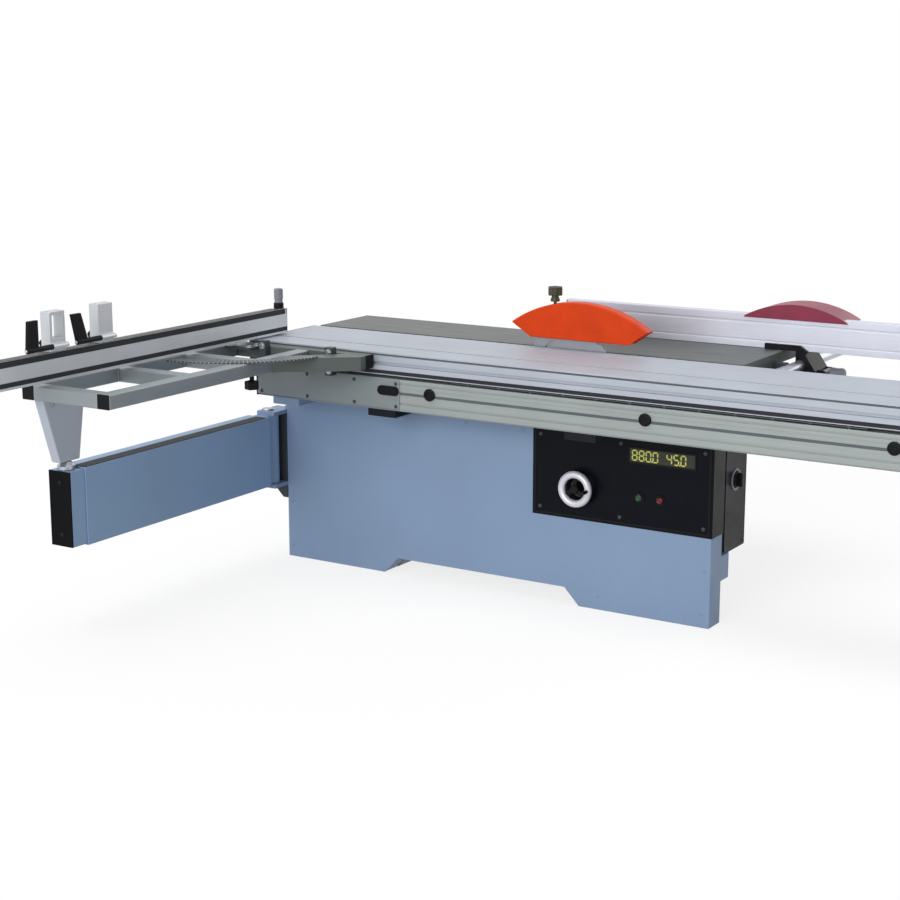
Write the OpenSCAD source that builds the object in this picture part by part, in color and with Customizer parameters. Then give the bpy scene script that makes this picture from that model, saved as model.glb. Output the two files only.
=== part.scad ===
// Sliding table saw with a long sliding carriage, a crosscut outrigger and a telescopic swing arm.
// Millimetres. X runs along the carriage travel with +X towards the operator, +Y is the rip side, +Z is up.
// The origin lies on the floor at the middle of the four floor-anchor holes.

/* [Cabinet] */
// Length of the front apron
apron_l = 1780; // [1700:10:1900]
// Depth of the front apron
apron_d = 90; // [80:2:110]
// Height of the front apron above the floor
apron_h = 640; // [620:2:646]
// Length of the main cabinet behind the apron
cabinet_l = 1490; // [1470:5:1500]
// Depth of the main cabinet
cabinet_d = 610; // [600:5:680]
// Distance of the cabinet's left end from the apron's left end
cabinet_inset = 20; // [10:2:30]
// Height of the cabinet's low front edge
cabinet_shoulder = 640; // [600:5:650]
// Height of the cabinet's back wall
cabinet_back = 780; // [770:2:790]
// Sheet thickness of apron and cabinet
sheet_t = 4; // [3:0.5:5]
// Height of the toe gap in the apron's lower edge
toe_h = 62; // [40:2:90]
// Start of the toe gap from the apron's left end
toe_start = 450; // [350:10:500]
// Length of the toe gap at the floor
toe_l = 830; // [700:10:900]
// Run of the toe gap's sloped ends
toe_slope = 60; // [30:5:80]
// Radius of a floor-anchor hole
anchor_r = 9; // [6:0.5:12]
// Distance between floor anchors along X
anchor_x = 1120; // [1000:10:1160]
// Distance between floor anchors along Y
anchor_y = 460; // [400:10:480]
// Width of the motor-bay door opening
door_w = 700; // [500:10:720]
// Height of the motor-bay door opening
door_h = 410; // [300:10:440]
// Height of the door opening's lower edge
door_z = 150; // [120:5:180]

/* [Controls] */
// Length of the black control panel
panel_l = 690; // [600:10:720]
// Height of the control panel
panel_h = 322; // [300:2:330]
// Depth of the switchgear box behind the panel
gear_d = 198; // [150:5:220]
// Width of the switchgear box beside the cabinet
gear_w = 270; // [240:5:280]
// Height of the switchgear box
gear_h = 404; // [330:2:420]
// Sheet thickness of the control panel
panel_t = 3; // [2:0.5:4]
// Radius of the handwheel rim, to the middle of its section
wheel_r = 52; // [45:1:65]
// Radius of the handwheel rim's section
rim_r = 13; // [6:0.5:14]
// Radius of the handwheel shaft
wheel_shaft_r = 8; // [6:0.5:10]
// Radius of a push button
button_r = 12; // [9:0.5:15]
// Travel of a push button
button_travel = 4; // [3:0.5:6]
// Radius of the isolator switch
isolator_r = 28; // [20:1:34]

/* [Sliding carriage] */
// Height of the table surfaces above the floor
table_z = 880; // [870:2:890]
// Length of the sliding table
slide_l = 3200; // [3000:20:3400]
// Height of the sliding table's profile
slide_h = 80; // [76:1:84]
// Distance of the carriage front ahead of the apron front
slide_lead = 200; // [190:2:210]
// Length of the fixed slide rail
rail_l = 3200; // [3000:20:3400]
// Width of the slide rail
rail_w = 150; // [140:2:160]
// Height of the slide rail's body
rail_h = 116; // [108:2:120]
// Wall of the aluminium profiles
profile_t = 6; // [4:0.5:8]
// Diameter of the guide rollers
roller_d = 12; // [10:0.5:14]
// Length of the roller cage
cage_l = 1500; // [1200:20:1700]
// Spacing of the guide rollers
roller_pitch = 125; // [100:5:160]
// Width of the rail's guide tongue
tongue_w = 30; // [24:1:36]
// Radius of the plugs over the rail's fixing screws
plug_r = 22; // [16:1:28]
// Spacing of the rail plugs
plug_pitch = 838; // [800:2:860]
// Thickness of the plastic end caps
cap_t = 6; // [4:0.5:8]

/* [Saw tables and rip fence] */
// Width of the cast table
cast_w = 322; // [300:2:340]
// Thickness of the cast table's plate
cast_t = 30; // [26:1:32]
// Depth of the cast table with its ribs
cast_skirt = 70; // [60:2:80]
// Wall of the cast table's ribs
cast_rib = 12; // [10:1:14]
// Width of the extension table
extension_w = 600; // [500:10:700]
// Length of the extension table
extension_l = 700; // [600:10:760]
// Radius of the rip fence's guide bar
bar_r = 20; // [16:0.5:24]
// Distance of the guide bar's axis from the table end
bar_out = 60; // [54:1:70]
// Depth of the guide bar's axis below the table surface
bar_drop = 50; // [46:1:56]
// Length of the rip fence profile
rip_l = 1340; // [1000:10:1400]
// Height of the rip fence profile
rip_h = 120; // [100:2:130]
// Thickness of the rip fence profile
rip_t = 40; // [34:1:46]
// Distance of the rip fence face from the blade
rip_set = 390; // [360:5:420]
// Length of the fence head along the guide bar
head_l = 110; // [100:5:140]
// Length of the fence head's cover
cover_l = 390; // [300:10:420]
// Height of the fence head's cover
cover_h = 56; // [30:1:60]

/* [Saw unit] */
// Distance of the blade's middle from the cabinet's right end
blade_x = 370; // [358:2:380]
// Distance of the blade behind the apron front
blade_back = 220; // [214:1:226]
// Radius of the main blade
blade_r = 157.5; // [150:0.5:160]
// Thickness of the main blade
blade_t = 3.2; // [2.4:0.1:3.6]
// Number of teeth on the main blade
blade_teeth = 40; // [24:2:60]
// Height of the blade above the table at rest
blade_up = 60; // [50:1:64]
// Gap between the blade and the tables on either side
blade_gap = 8; // [7:0.5:10]
// Radius of the saw arbor
arbor_r = 15; // [12:0.5:16]
// Radius of the arbor housing
housing_r = 32; // [28:1:34]
// Radius of the scoring blade
scoring_r = 60; // [50:1:62]
// Radius of the saw motor
motor_r = 85; // [70:1:88]
// Length of the saw motor
motor_l = 180; // [150:5:186]
// Radius of the motor pulley
motor_pulley_r = 45; // [38:1:50]
// Radius of the arbor pulley
arbor_pulley_r = 35; // [30:1:40]
// Thickness of the drive belt
belt_t = 5; // [4:0.5:6]
// Radius of the lift guide rods
rod_r = 12; // [10:0.5:14]
// Inner radius of the trunnion track
trunnion_r = 120; // [114:1:124]
// Height of the trunnion track and of the tilting arc
trunnion_t = 30; // [26:1:34]
// Length of the blade guard
guard_l = 551; // [480:5:580]
// Width of the blade guard
guard_w = 50; // [44:1:54]
// Height of the blade guard's arched top above its tips
guard_rise = 87; // [70:1:95]
// Wall of the blade guard
guard_t = 3; // [2:0.5:4]
// Height of the guard's lower edge above the table
guard_clear = 35; // [32:1:38]
// Radius of the guard's knob
guard_knob_r = 28; // [20:1:30]

/* [Swing arm] */
// Length of the outer arm
arm_l = 1010; // [950:5:1100]
// Width of the outer arm
arm_w = 104; // [96:2:108]
// Height of the outer arm
arm_h = 268; // [250:2:280]
// Height of the arm's underside above the floor
arm_z = 298; // [280:2:310]
// Wall of the arm tubes
arm_t = 4; // [3:0.5:5]
// Part of the inner arm that shows at rest
inner_show = 65; // [62:1:120]
// Part of the inner arm that lies inside at rest
inner_hidden = 960; // [800:10:980]
// Radius of the arm's pivot pin
arm_pin_r = 15; // [12:0.5:18]
// Distance of the arm's pivot from the apron's end
arm_out = 52; // [50:1:58]
// Distance of the arm's pivot ahead of the apron front
arm_ahead = 50; // [46:1:60]

/* [Outrigger] */
// Length of the outrigger frame
outrigger_l = 1104; // [1050:2:1200]
// Width of the outrigger frame
outrigger_w = 375; // [350:5:400]
// Side of the outrigger's square tubes
outrigger_tube = 50; // [40:1:54]
// Length of the beam along the sliding table
beam_l = 625; // [580:5:680]
// Height of the crosscut fence profile
fence_h = 94; // [80:1:100]
// Thickness of the crosscut fence profile
fence_t = 40; // [34:1:46]
// Wall of the crosscut fence profile
fence_wall = 4; // [3:0.5:5]
// Length of the crosscut fence
fence_l = 1504; // [1300:2:1550]
// Part of the fence extension that shows at rest
extension_show = 120; // [100:5:150]
// Part of the fence extension that lies inside at rest
extension_hidden = 580; // [500:10:700]
// Radius of the fence's pivot pin
fence_pin_r = 10; // [8:0.5:12]
// Radius of the mitre quadrant, to its outer edge
quadrant_r = 430; // [400:5:450]
// Width of the mitre quadrant's band
quadrant_w = 50; // [40:1:60]
// Height of a stop's block above the fence
stop_h = 130; // [100:1:140]
// Length of a stop's block along the fence
stop_l = 70; // [50:2:90]
// Distance of a stop's finger from its block
finger_out = 84; // [60:2:90]
// Width of the support post at its top
post_top_w = 200; // [160:5:300]
// From the outrigger's far end to the post
post_set = 44; // [20:2:120]
// Width of the support post at its foot
post_foot_w = 93; // [80:1:130]
// Radius of the post's swivel foot
foot_r = 30; // [26:1:32]
// Radius of the outrigger's lock knob
lock_knob_r = 26; // [20:1:30]

/* [Fits] */
// Radial clearance of a shaft in its bore
run_fit = 0.05; // [0.03:0.01:0.08]
// Gap between faces that slide past each other
slide_fit = 0.3; // [0.3:0.05:0.5]
// Gap between telescoping tubes
tube_fit = 0.8; // [0.6:0.1:0.9]

/* [Hidden] */
$fn = 64;

// Colours as the photo shows them
paint = "#8498b4";
dark_paint = "#3a4250";
black = "#14161e";
aluminium = "#b9c3c6";
iron = "#5c645f";
steel = "#9aa0a6";
orange = "#c44718";
maroon = "#7f2f45";
post_grey = "#8891a2";
lcd = "#a9ab3c";

// Cabinet planes
front_y = -(apron_d + cabinet_d) / 2;
apron_back_y = front_y + apron_d;
back_y = apron_back_y + cabinet_d;
apron_x0 = -apron_l / 2;
apron_x1 = apron_l / 2;
cabinet_x0 = apron_x0 + cabinet_inset;
cabinet_x1 = cabinet_x0 + cabinet_l;
toe_x0 = apron_x0 + toe_start;
toe_x1 = toe_x0 + toe_l;
door_lap = 12;
door_pin_r = 6;
panel_x0 = apron_x1 - panel_l;
panel_z0 = apron_h - panel_h;
panel_front_y = front_y - panel_t;
gear_x0 = cabinet_x1;
gear_x1 = gear_x0 + gear_w;
gear_y1 = apron_back_y + gear_d;
gear_z0 = apron_h - gear_h;
shelf_d = 63;
shelf_h = 88;
wheel_x = panel_x0 + 188;
wheel_z = panel_z0 + 117;
tilt_wheel_y = back_y - 250;
tilt_wheel_z = 450;
dust_inset = 320;
dust_x = cabinet_x1 - dust_inset;
dust_z = 230;
dust_r = 60;
dust_t = 4;
dust_l = 55;
dust_flange = 14;
door_gap = 126;
door_x0 = dust_x - dust_r - dust_flange - door_gap - door_w;

// Carriage planes
blade_y = front_y + blade_back;
slide_y0 = front_y - slide_lead;
slide_y1 = blade_y - blade_t / 2 - blade_gap;
slide_z0 = table_z - slide_h;
slide_x0 = apron_x0 - 10;
lip_t = 9;
lip_chamfer = 6;
lip_w = 17;
tongue_y0 = slide_y0 + 60;
tongue_y1 = tongue_y0 + tongue_w;
tongue_h = 24;
rail_z1 = slide_z0 - roller_d;
rail_z0 = rail_z1 - rail_h;
rail_y0 = slide_y0;
rail_y1 = rail_y0 + rail_w;
rail_x0 = apron_x0 + 19;
plug_x = apron_x1 - 161;
plug_z = rail_z0 + 73;
plug_t = 8;
oval_r = 17;
oval_l = 56;
slot_w = 12;
slot_d = 10;
slot_z = table_z - 40;

// Table planes
cast_y0 = blade_y + blade_t / 2 + blade_gap;
cast_y1 = cast_y0 + cast_w;
cast_z0 = table_z - cast_skirt;
cast_under = table_z - cast_t;
extension_t = 4;
extension_skirt = 40;
extension_y1 = cast_y1 + extension_w;
bar_x = apron_x1 + bar_out;
bar_z = table_z - bar_drop;
bar_y0 = cast_y0 + 12;
rip_y0 = blade_y + rip_set;
rip_y1 = rip_y0 + rip_t;
rip_z0 = table_z + 1;
rip_x0 = 0;
head_x0 = bar_x - bar_r + 2.5;
head_x1 = head_x0 + 76;
head_y0 = rip_y0 + 2;
head_top = table_z - 2;
lever_z = head_top - 76;
head_low = bar_z - bar_r - 22;
head_nose = 25;
foot_t = 14;
foot_l = 119;
foot_rise = 20;
upright_w = 30;
lug_w = 12;
lever_r = 14;
lever_x = head_x1 + lever_r + 2;
lever_pin_r = 6;
grip_r = 21;
grip_l = 56;

// Saw unit places
saw_x = cabinet_x1 - blade_x;
arbor_z = table_z + blade_up - blade_r;
plate_t = 20;
tilt_x0 = saw_x - 280;
tilt_x1 = saw_x + 310;
rod_y = blade_y + 276;
rod_x = [saw_x + 90, saw_x + 190];
top_bar_z = table_z - 108;
low_bar_z = table_z - 418;
web_y0 = blade_y + 192;
web_y1 = web_y0 + 18;
motor_x = saw_x - 140;
motor_z = arbor_z - 142;
pulley_y0 = web_y1 + 8;
pulley_w = 40;
motor_plate_y = pulley_y0 + pulley_w + 8;
motor_plate_t = 14;
housing_y0 = blade_y + 18;
flange_r = 35;
flange_t = 4;
scoring_x = saw_x + blade_r + scoring_r + 14;
scoring_z = table_z + 2 - scoring_r;
scoring_shaft_r = 10;
knife_t = 2.4;
knife_gap = 5;
guard_x0 = saw_x - 259;
guard_x1 = guard_x0 + guard_l;
guard_tip_z = table_z + 85;
guard_z0 = table_z + guard_clear;
guard_arc_r = (guard_l * guard_l / 4 + guard_rise * guard_rise) / (2 * guard_rise);
guard_mid_x = (guard_x0 + guard_x1) / 2;
guard_arc_z = guard_tip_z + guard_rise - guard_arc_r;
knob_x = saw_x - 90;
knob_stem_r = 6;
knob_seat_z = guard_arc_z + sqrt(pow(guard_arc_r, 2) - pow(guard_mid_x - knob_x, 2));

// Swing arm places
arm_x = apron_x0 - arm_out;
arm_pivot_y = front_y - arm_ahead;
arm_y0 = arm_pivot_y - 55;
arm_y1 = arm_y0 - arm_l;
arm_top = arm_z + arm_h;
inner_top = arm_top - arm_t - tube_fit;
inner_y1 = arm_y1 - inner_show;
lug_t = 15;

// Outrigger places
outrigger_x0 = arm_x - outrigger_tube / 2;
outrigger_x1 = outrigger_x0 + outrigger_w;
outrigger_top = table_z - 8;
outrigger_z0 = outrigger_top - outrigger_tube;
outrigger_y0 = slide_y0 - 6;
outrigger_y1 = outrigger_y0 - outrigger_l;
fence_x = arm_x + 62;
fence_pivot_y = outrigger_y0 - outrigger_tube - 34;
fence_z0 = table_z + 6;
fence_top = fence_z0 + fence_h;
fence_y1 = fence_pivot_y + 264;
fence_y0 = fence_y1 - fence_l;
pivot_plate_t = 10;
quadrant_t = 5;
post_y = arm_y1 - foot_r - 5;
post_t = 40;
foot_z = inner_top + slide_fit;
foot_h = 30;
foot_stem_r = 12;
lock_knob_y = outrigger_y0 - 350;
lock_stem_r = 6;
stop_a_y = fence_y0 + 475;
stop_b_y = fence_y0 + 250;
finger_t = 10;
finger_w = 32;
finger_lean = 30;
stop_wall = 12;
finger_pin_r = 5;

// Box between two corners
module span(x0, x1, y0, y1, z0, z1) {
    translate([x0, y0, z0]) cube([x1 - x0, y1 - y0, z1 - z0]);
}

// Round bar along X, Y or Z
module bar_along_x(r, x0, x1, y, z) {
    translate([x0, y, z]) rotate([0, 90, 0]) cylinder(r = r, h = x1 - x0);
}
module bar_along_y(r, y0, y1, x, z) {
    translate([x, y0, z]) rotate([-90, 0, 0]) cylinder(r = r, h = y1 - y0);
}
module bar_along_z(r, z0, z1, x, y) {
    translate([x, y, z0]) cylinder(r = r, h = z1 - z0);
}

// Outline of Y and Z drawn out along X
module draw_x(x0, x1) {
    translate([x0, 0, 0]) rotate([90, 0, 90]) linear_extrude(x1 - x0) children();
}

// Outline of X and Z drawn out along Y
module draw_y(y0, y1) {
    translate([0, y1, 0]) rotate([90, 0, 0]) linear_extrude(y1 - y0) children();
}

// Sector of a ring about an axis along X, angles from +Y towards +Z
module ring_sector(x0, x1, y, z, r0, r1, a0, a1) {
    reach = 2 * r1;
    middle = (a0 + a1) / 2;
    translate([0, y, z]) intersection() {
        difference() {
            bar_along_x(r1, x0, x1, 0, 0);
            bar_along_x(r0, x0 - 1, x1 + 1, 0, 0);
        }
        draw_x(x0 - 1, x1 + 1)
            polygon([[0, 0], for (a = [a0, middle, a1]) reach * [cos(a), sin(a)]]);
    }
}

// Outline with a triangular tooth at each step round a disc
function tooth_points(r, teeth, deep) = [
    for (i = [0:teeth - 1], k = [0, 1])
        let (a = 360 / teeth * (i + 0.85 * k), q = r - deep * (1 - k)) q * [cos(a), sin(a)]
];

// Handwheel with three spokes, a hub and a turned grip, its axis along -Y and its seat at the origin
module handwheel(shaft_l) {
    hub_l = 44;
    rim_y = 36;
    rotate([90, 0, 0]) {
        translate([0, 0, rim_y]) rotate_extrude() translate([wheel_r, 0]) circle(r = rim_r);
        translate([0, 0, slide_fit]) cylinder(r = 18, h = hub_l - slide_fit);
        for (i = [0:2]) rotate([0, 0, 90 + 120 * i])
            translate([0, -6, rim_y - 4]) cube([wheel_r, 12, 8]);
        translate([wheel_r, 0, rim_y]) cylinder(r = 7, h = 44);
        translate([0, 0, -shaft_l]) cylinder(r = wheel_shaft_r, h = shaft_l + 10);
    }
}

// Cabinet

// Gap for the toes, as an outline of X and Z, wider and higher by a wall
module toe_outline(wall) {
    polygon([
        [toe_x0 - wall, -1], [toe_x0 + toe_slope - wall, toe_h + wall],
        [toe_x1 - toe_slope + wall, toe_h + wall], [toe_x1 + wall, -1]
    ]);
}

module front_apron() {
    color(paint) difference() {
        span(apron_x0, apron_x1, front_y, apron_back_y, 0, apron_h);
        span(apron_x0 + sheet_t, apron_x1 - sheet_t, front_y + sheet_t, apron_back_y + 1,
             -1, apron_h - sheet_t);
        draw_y(front_y - 1, front_y + sheet_t + 1) toe_outline(0);
        bar_along_y(wheel_shaft_r + run_fit, front_y - 1, front_y + sheet_t + 1, wheel_x, wheel_z);
        for (x = button_places)
            bar_along_y(button_r + slide_fit, front_y - 1, front_y + sheet_t + 1, x, button_z);
    }
}

module cabinet_outline(inset) {
    polygon([
        [apron_back_y, inset], [back_y - inset, inset], [back_y - inset, cabinet_back - inset],
        [cast_y1 - inset, cast_z0 - inset], [cast_y0 + 22 + inset, cast_z0 - inset],
        [apron_back_y, cabinet_shoulder]
    ]);
}

module main_cabinet() {
    color(paint) difference() {
        union() {
            draw_x(cabinet_x0, cabinet_x1) cabinet_outline(0);
            span(cabinet_x1 - 1, gear_x1, apron_back_y, apron_back_y + shelf_d, gear_z0 - shelf_h, gear_z0);
        }
        difference() {
            union() {
                draw_x(cabinet_x0 + sheet_t, cabinet_x1 - sheet_t) cabinet_outline(sheet_t);
                span(cabinet_x0 + sheet_t, cabinet_x1 - sheet_t, cast_y0 + 30, cast_y1 - cast_rib - 8,
                     cast_z0 - 60, cast_z0 + 1);
                span(cabinet_x0 + sheet_t, cabinet_x1 - sheet_t, apron_back_y - 1, cast_y0 + 31,
                     sheet_t, cast_z0 + 1);
            }
            draw_y(apron_back_y - 2, back_y + 2) toe_outline(sheet_t);
        }
        draw_y(apron_back_y - 2, back_y + 2) toe_outline(0);
        span(door_x0, door_x0 + door_w, back_y - sheet_t - 1, back_y + 1, door_z, door_z + door_h);
        bar_along_y(dust_r - dust_t, back_y - sheet_t - 1, back_y + 1, dust_x, dust_z);
        bar_along_x(wheel_shaft_r + run_fit, cabinet_x1 - sheet_t - 1, cabinet_x1 + 1,
                    tilt_wheel_y, tilt_wheel_z);
        for (sx = [-1, 1], sy = [-1, 1])
            bar_along_z(anchor_r, -1, sheet_t + 1, sx * anchor_x / 2, sy * anchor_y / 2);
    }
}

door_pin_x = door_x0 - door_lap - door_pin_r;
door_pin_y = back_y + door_pin_r + slide_fit;

module rear_door() {
    color(paint) {
        span(door_pin_x, door_x0 + door_w + door_lap, back_y + slide_fit, back_y + slide_fit + sheet_t,
             door_z - door_lap, door_z + door_h + door_lap);
        bar_along_z(door_pin_r, door_z - door_lap, door_z + door_h + door_lap, door_pin_x, door_pin_y);
        span(door_x0 + door_w - 60, door_x0 + door_w - 30, back_y + slide_fit + sheet_t,
             back_y + slide_fit + sheet_t + 18, door_z + door_h / 2 - 50, door_z + door_h / 2 + 50);
    }
}

module dust_port() {
    color(black) difference() {
        union() {
            bar_along_y(dust_r, back_y, back_y + dust_l, dust_x, dust_z);
            bar_along_y(dust_r + dust_flange, back_y, back_y + 5, dust_x, dust_z);
        }
        bar_along_y(dust_r - dust_t, back_y - 1, back_y + dust_l + 1, dust_x, dust_z);
    }
}

// Controls

button_places = [panel_x0 + 420, panel_x0 + 500];
button_z = panel_z0 + 110;
isolator_y = (apron_back_y + gear_y1) / 2;
isolator_z = panel_z0 + 170;

module control_box() {
    color(black) difference() {
        union() {
            span(panel_x0, apron_x1 + panel_t, panel_front_y, front_y, panel_z0, apron_h);
            span(apron_x1, apron_x1 + panel_t, panel_front_y, apron_back_y + panel_t, panel_z0, apron_h);
            span(gear_x0, gear_x1 + panel_t, apron_back_y, gear_y1, gear_z0, apron_h);
            span(min(gear_x0, apron_x1), max(gear_x1, apron_x1) + panel_t, apron_back_y, apron_back_y + panel_t,
                 panel_z0, apron_h);
        }
        span(gear_x0 + panel_t, gear_x1, apron_back_y + panel_t, gear_y1 - panel_t,
             gear_z0 + panel_t, apron_h - panel_t);
        bar_along_y(wheel_shaft_r + run_fit, panel_front_y - 1, front_y + 1, wheel_x, wheel_z);
        for (x = button_places)
            bar_along_y(button_r + slide_fit, panel_front_y - 1, front_y + 1, x, button_z);
        bar_along_x(isolator_r / 4 + run_fit, gear_x1 - 1, gear_x1 + panel_t + 1, isolator_y, isolator_z);
    }
}

module readout_display() {
    readout_x = panel_x0 + 375;
    readout_z = panel_z0 + 228;
    color(lcd) span(readout_x, readout_x + 255, panel_front_y - 3, panel_front_y, readout_z, readout_z + 58);
}

module push_button(x) {
    bar_along_y(button_r, panel_front_y - button_travel - 8, front_y + sheet_t + 2, x, button_z);
}
module start_button() { color(steel) push_button(button_places[0]); }
module stop_button() { color(dark_paint) push_button(button_places[1]); }

module isolator_switch() {
    face_x = gear_x1 + panel_t + slide_fit;
    color(black) {
        bar_along_x(isolator_r, face_x, face_x + 8, isolator_y, isolator_z);
        span(face_x + 8, face_x + 24, isolator_y - 6, isolator_y + 6,
             isolator_z - isolator_r + 4, isolator_z + isolator_r - 4);
        bar_along_x(isolator_r / 4, gear_x1 - 4, face_x + 1, isolator_y, isolator_z);
    }
}

module lift_handwheel() {
    color(aluminium) translate([wheel_x, panel_front_y, wheel_z]) handwheel(panel_t + sheet_t + 40);
}

module tilt_handwheel() {
    color(aluminium) translate([cabinet_x1, tilt_wheel_y, tilt_wheel_z])
        rotate([0, 0, 90]) handwheel(sheet_t + 20);
}

// Sliding carriage

bracket_in = 130;
bracket_pitch = 430;
bracket_half = 60;
bracket_past_saw = 225;
bracket_lead = 25;
bracket_places = [apron_x0 + bracket_in, apron_x0 + bracket_in + bracket_pitch, saw_x + bracket_past_saw];

module rail_brackets() {
    color(dark_paint) for (x = bracket_places)
        span(x - bracket_half, x + bracket_half, rail_y0 + bracket_lead, apron_back_y - 2 * sheet_t,
             apron_h, rail_z0);
}

module slide_rail() {
    c = profile_t;
    wing_y0 = rail_y0 + c;
    wing_y1 = rail_y1 - c;
    color(aluminium) difference() {
        draw_x(rail_x0, rail_x0 + rail_l) polygon([
            [rail_y0, rail_z0 + c], [wing_y0, rail_z0], [wing_y1, rail_z0], [rail_y1, rail_z0 + c],
            [rail_y1, rail_z1], [tongue_y1, rail_z1], [tongue_y1, rail_z1 + tongue_h],
            [tongue_y0, rail_z1 + tongue_h], [tongue_y0, rail_z1], [rail_y0, rail_z1]
        ]);
        span(rail_x0 - 1, rail_x0 + rail_l + 1, wing_y0 + 4, tongue_y0, rail_z0 + 8, rail_z1 - 10);
        span(rail_x0 - 1, rail_x0 + rail_l + 1, tongue_y0 + 8, wing_y1 - 4, rail_z0 + 8, rail_z1 - 10);
        for (z = [rail_z0 + 26, rail_z1 - 18])
            span(rail_x0 - 1, rail_x0 + rail_l + 1, rail_y0 - 1, rail_y0 + 4, z, z + 6);
    }
}

module rail_end_caps() {
    color(black) for (x = [rail_x0 - cap_t, rail_x0 + rail_l])
        span(x, x + cap_t, rail_y0, rail_y1, rail_z0, rail_z1);
}

module rail_plugs() {
    oval_x = plug_x - plug_pitch - oval_l - 145;
    color(black) {
        for (i = [-1:1]) bar_along_y(plug_r, rail_y0 - plug_t, rail_y0, plug_x + plug_pitch * i, plug_z);
        for (x = [oval_x, oval_x + oval_l]) bar_along_y(oval_r, rail_y0 - plug_t, rail_y0, x, plug_z);
        span(oval_x, oval_x + oval_l, rail_y0 - plug_t, rail_y0, plug_z - oval_r, plug_z + oval_r);
    }
}

cage_x0 = rail_x0 + rail_l / 2 - cage_l / 2;
cage_strips = [[rail_y0 + 8, tongue_y0 - 6], [tongue_y1 + 6, rail_y1 - 8]];

module roller_cage() {
    middle_z = rail_z1 + roller_d / 2;
    color(steel) for (strip = cage_strips) {
        span(cage_x0, cage_x0 + cage_l, strip[0], strip[1], middle_z - 1.5, middle_z + 1.5);
        for (x = [cage_x0 + roller_pitch / 2:roller_pitch:cage_x0 + cage_l - roller_pitch / 4])
            bar_along_y(roller_d / 2 - slide_fit, strip[0] + 3, strip[1] - 3, x, middle_z);
    }
}

module slide_outline() {
    lip_y = slide_y1 - lip_w;
    polygon([
        [slide_y0, slide_z0], [slide_y0, table_z], [slide_y1, table_z],
        [slide_y1, table_z - lip_t + lip_chamfer], [slide_y1 - lip_chamfer, table_z - lip_t],
        [lip_y, table_z - lip_t], [lip_y - slide_h + lip_t, slide_z0],
        [tongue_y1 + slide_fit, slide_z0],
        [tongue_y1 + slide_fit, slide_z0 + tongue_h - roller_d + slide_fit],
        [tongue_y0 - slide_fit, slide_z0 + tongue_h - roller_d + slide_fit], [tongue_y0 - slide_fit, slide_z0]
    ]);
}

module sliding_table() {
    x0 = slide_x0 - 1;
    x1 = slide_x0 + slide_l + 1;
    deck = table_z - 14;
    color(aluminium) difference() {
        draw_x(slide_x0, slide_x0 + slide_l) slide_outline();
        span(x0, x1, slide_y0 - 1, slide_y0 + slot_d, slot_z - slot_w / 2, slot_z + slot_w / 2);
        span(x0, x1, slide_y0 + 120, slide_y0 + 120 + slot_w, table_z - slot_d, table_z + 1);
        span(x0, x1, slide_y0 + slot_d + profile_t, tongue_y0 - profile_t, slide_z0 + profile_t, deck);
        span(x0, x1, tongue_y1 + profile_t, slide_y0 + 210, slide_z0 + profile_t, deck);
        span(x0, x1, slide_y0 + 210 + profile_t, slide_y0 + 310, slide_z0 + profile_t, deck);
    }
}

module slide_end_caps() {
    color(black) for (x = [slide_x0 - cap_t, slide_x0 + slide_l])
        draw_x(x, x + cap_t) slide_outline();
}

// Saw tables and rip fence

module saw_table() {
    bay_x0 = tilt_x0 - 30;
    bay_x1 = tilt_x1 + plate_t + 30;
    back = cast_y1 - cast_rib;
    color(iron) difference() {
        span(apron_x0, apron_x1, cast_y0, cast_y1, cast_z0, table_z);
        span(apron_x0 + cast_rib, bay_x0 - cast_rib, cast_y0 + cast_rib, back, cast_z0 - 1, cast_under);
        span(bay_x0, bay_x1, cast_y0 - 1, back, cast_z0 - 1, cast_under);
        span(bay_x1 + cast_rib, apron_x1 - cast_rib, cast_y0 + cast_rib, back, cast_z0 - 1, cast_under);
    }
}

module extension_table() {
    x0 = apron_x1 - extension_l;
    color(iron) difference() {
        span(x0, apron_x1, cast_y1, extension_y1, table_z - extension_skirt, table_z);
        span(x0 + extension_t, apron_x1 - extension_t, cast_y1 + extension_t, extension_y1 - extension_t,
             table_z - extension_skirt - 1, table_z - extension_t);
    }
}

module extension_braces() {
    top = table_z - extension_t;
    color(dark_paint) for (x = [apron_x1 - extension_l + 20, cabinet_x1 - 60])
        draw_x(x, x + 30) polygon([
            [back_y, 470], [back_y, 515], [extension_y1 - 65, top], [extension_y1 - 20, top]
        ]);
}

module guide_bar() {
    color(steel) bar_along_y(bar_r, bar_y0, extension_y1, bar_x, bar_z);
}

module bar_brackets() {
    color(black) difference() {
        for (y = [cast_y0 + 42, cast_y1 - 30, extension_y1 - 30])
            span(apron_x1, bar_x - bar_r + 2, y - 15, y + 15, bar_z - 19, bar_z + 19);
        bar_along_y(bar_r, bar_y0 - 1, extension_y1 + 1, bar_x, bar_z);
    }
}

upright_top = rip_z0 + rip_h - 12;
lug_y = [head_y0 + 8, head_y0 + head_l - 8 - lug_w];

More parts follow.
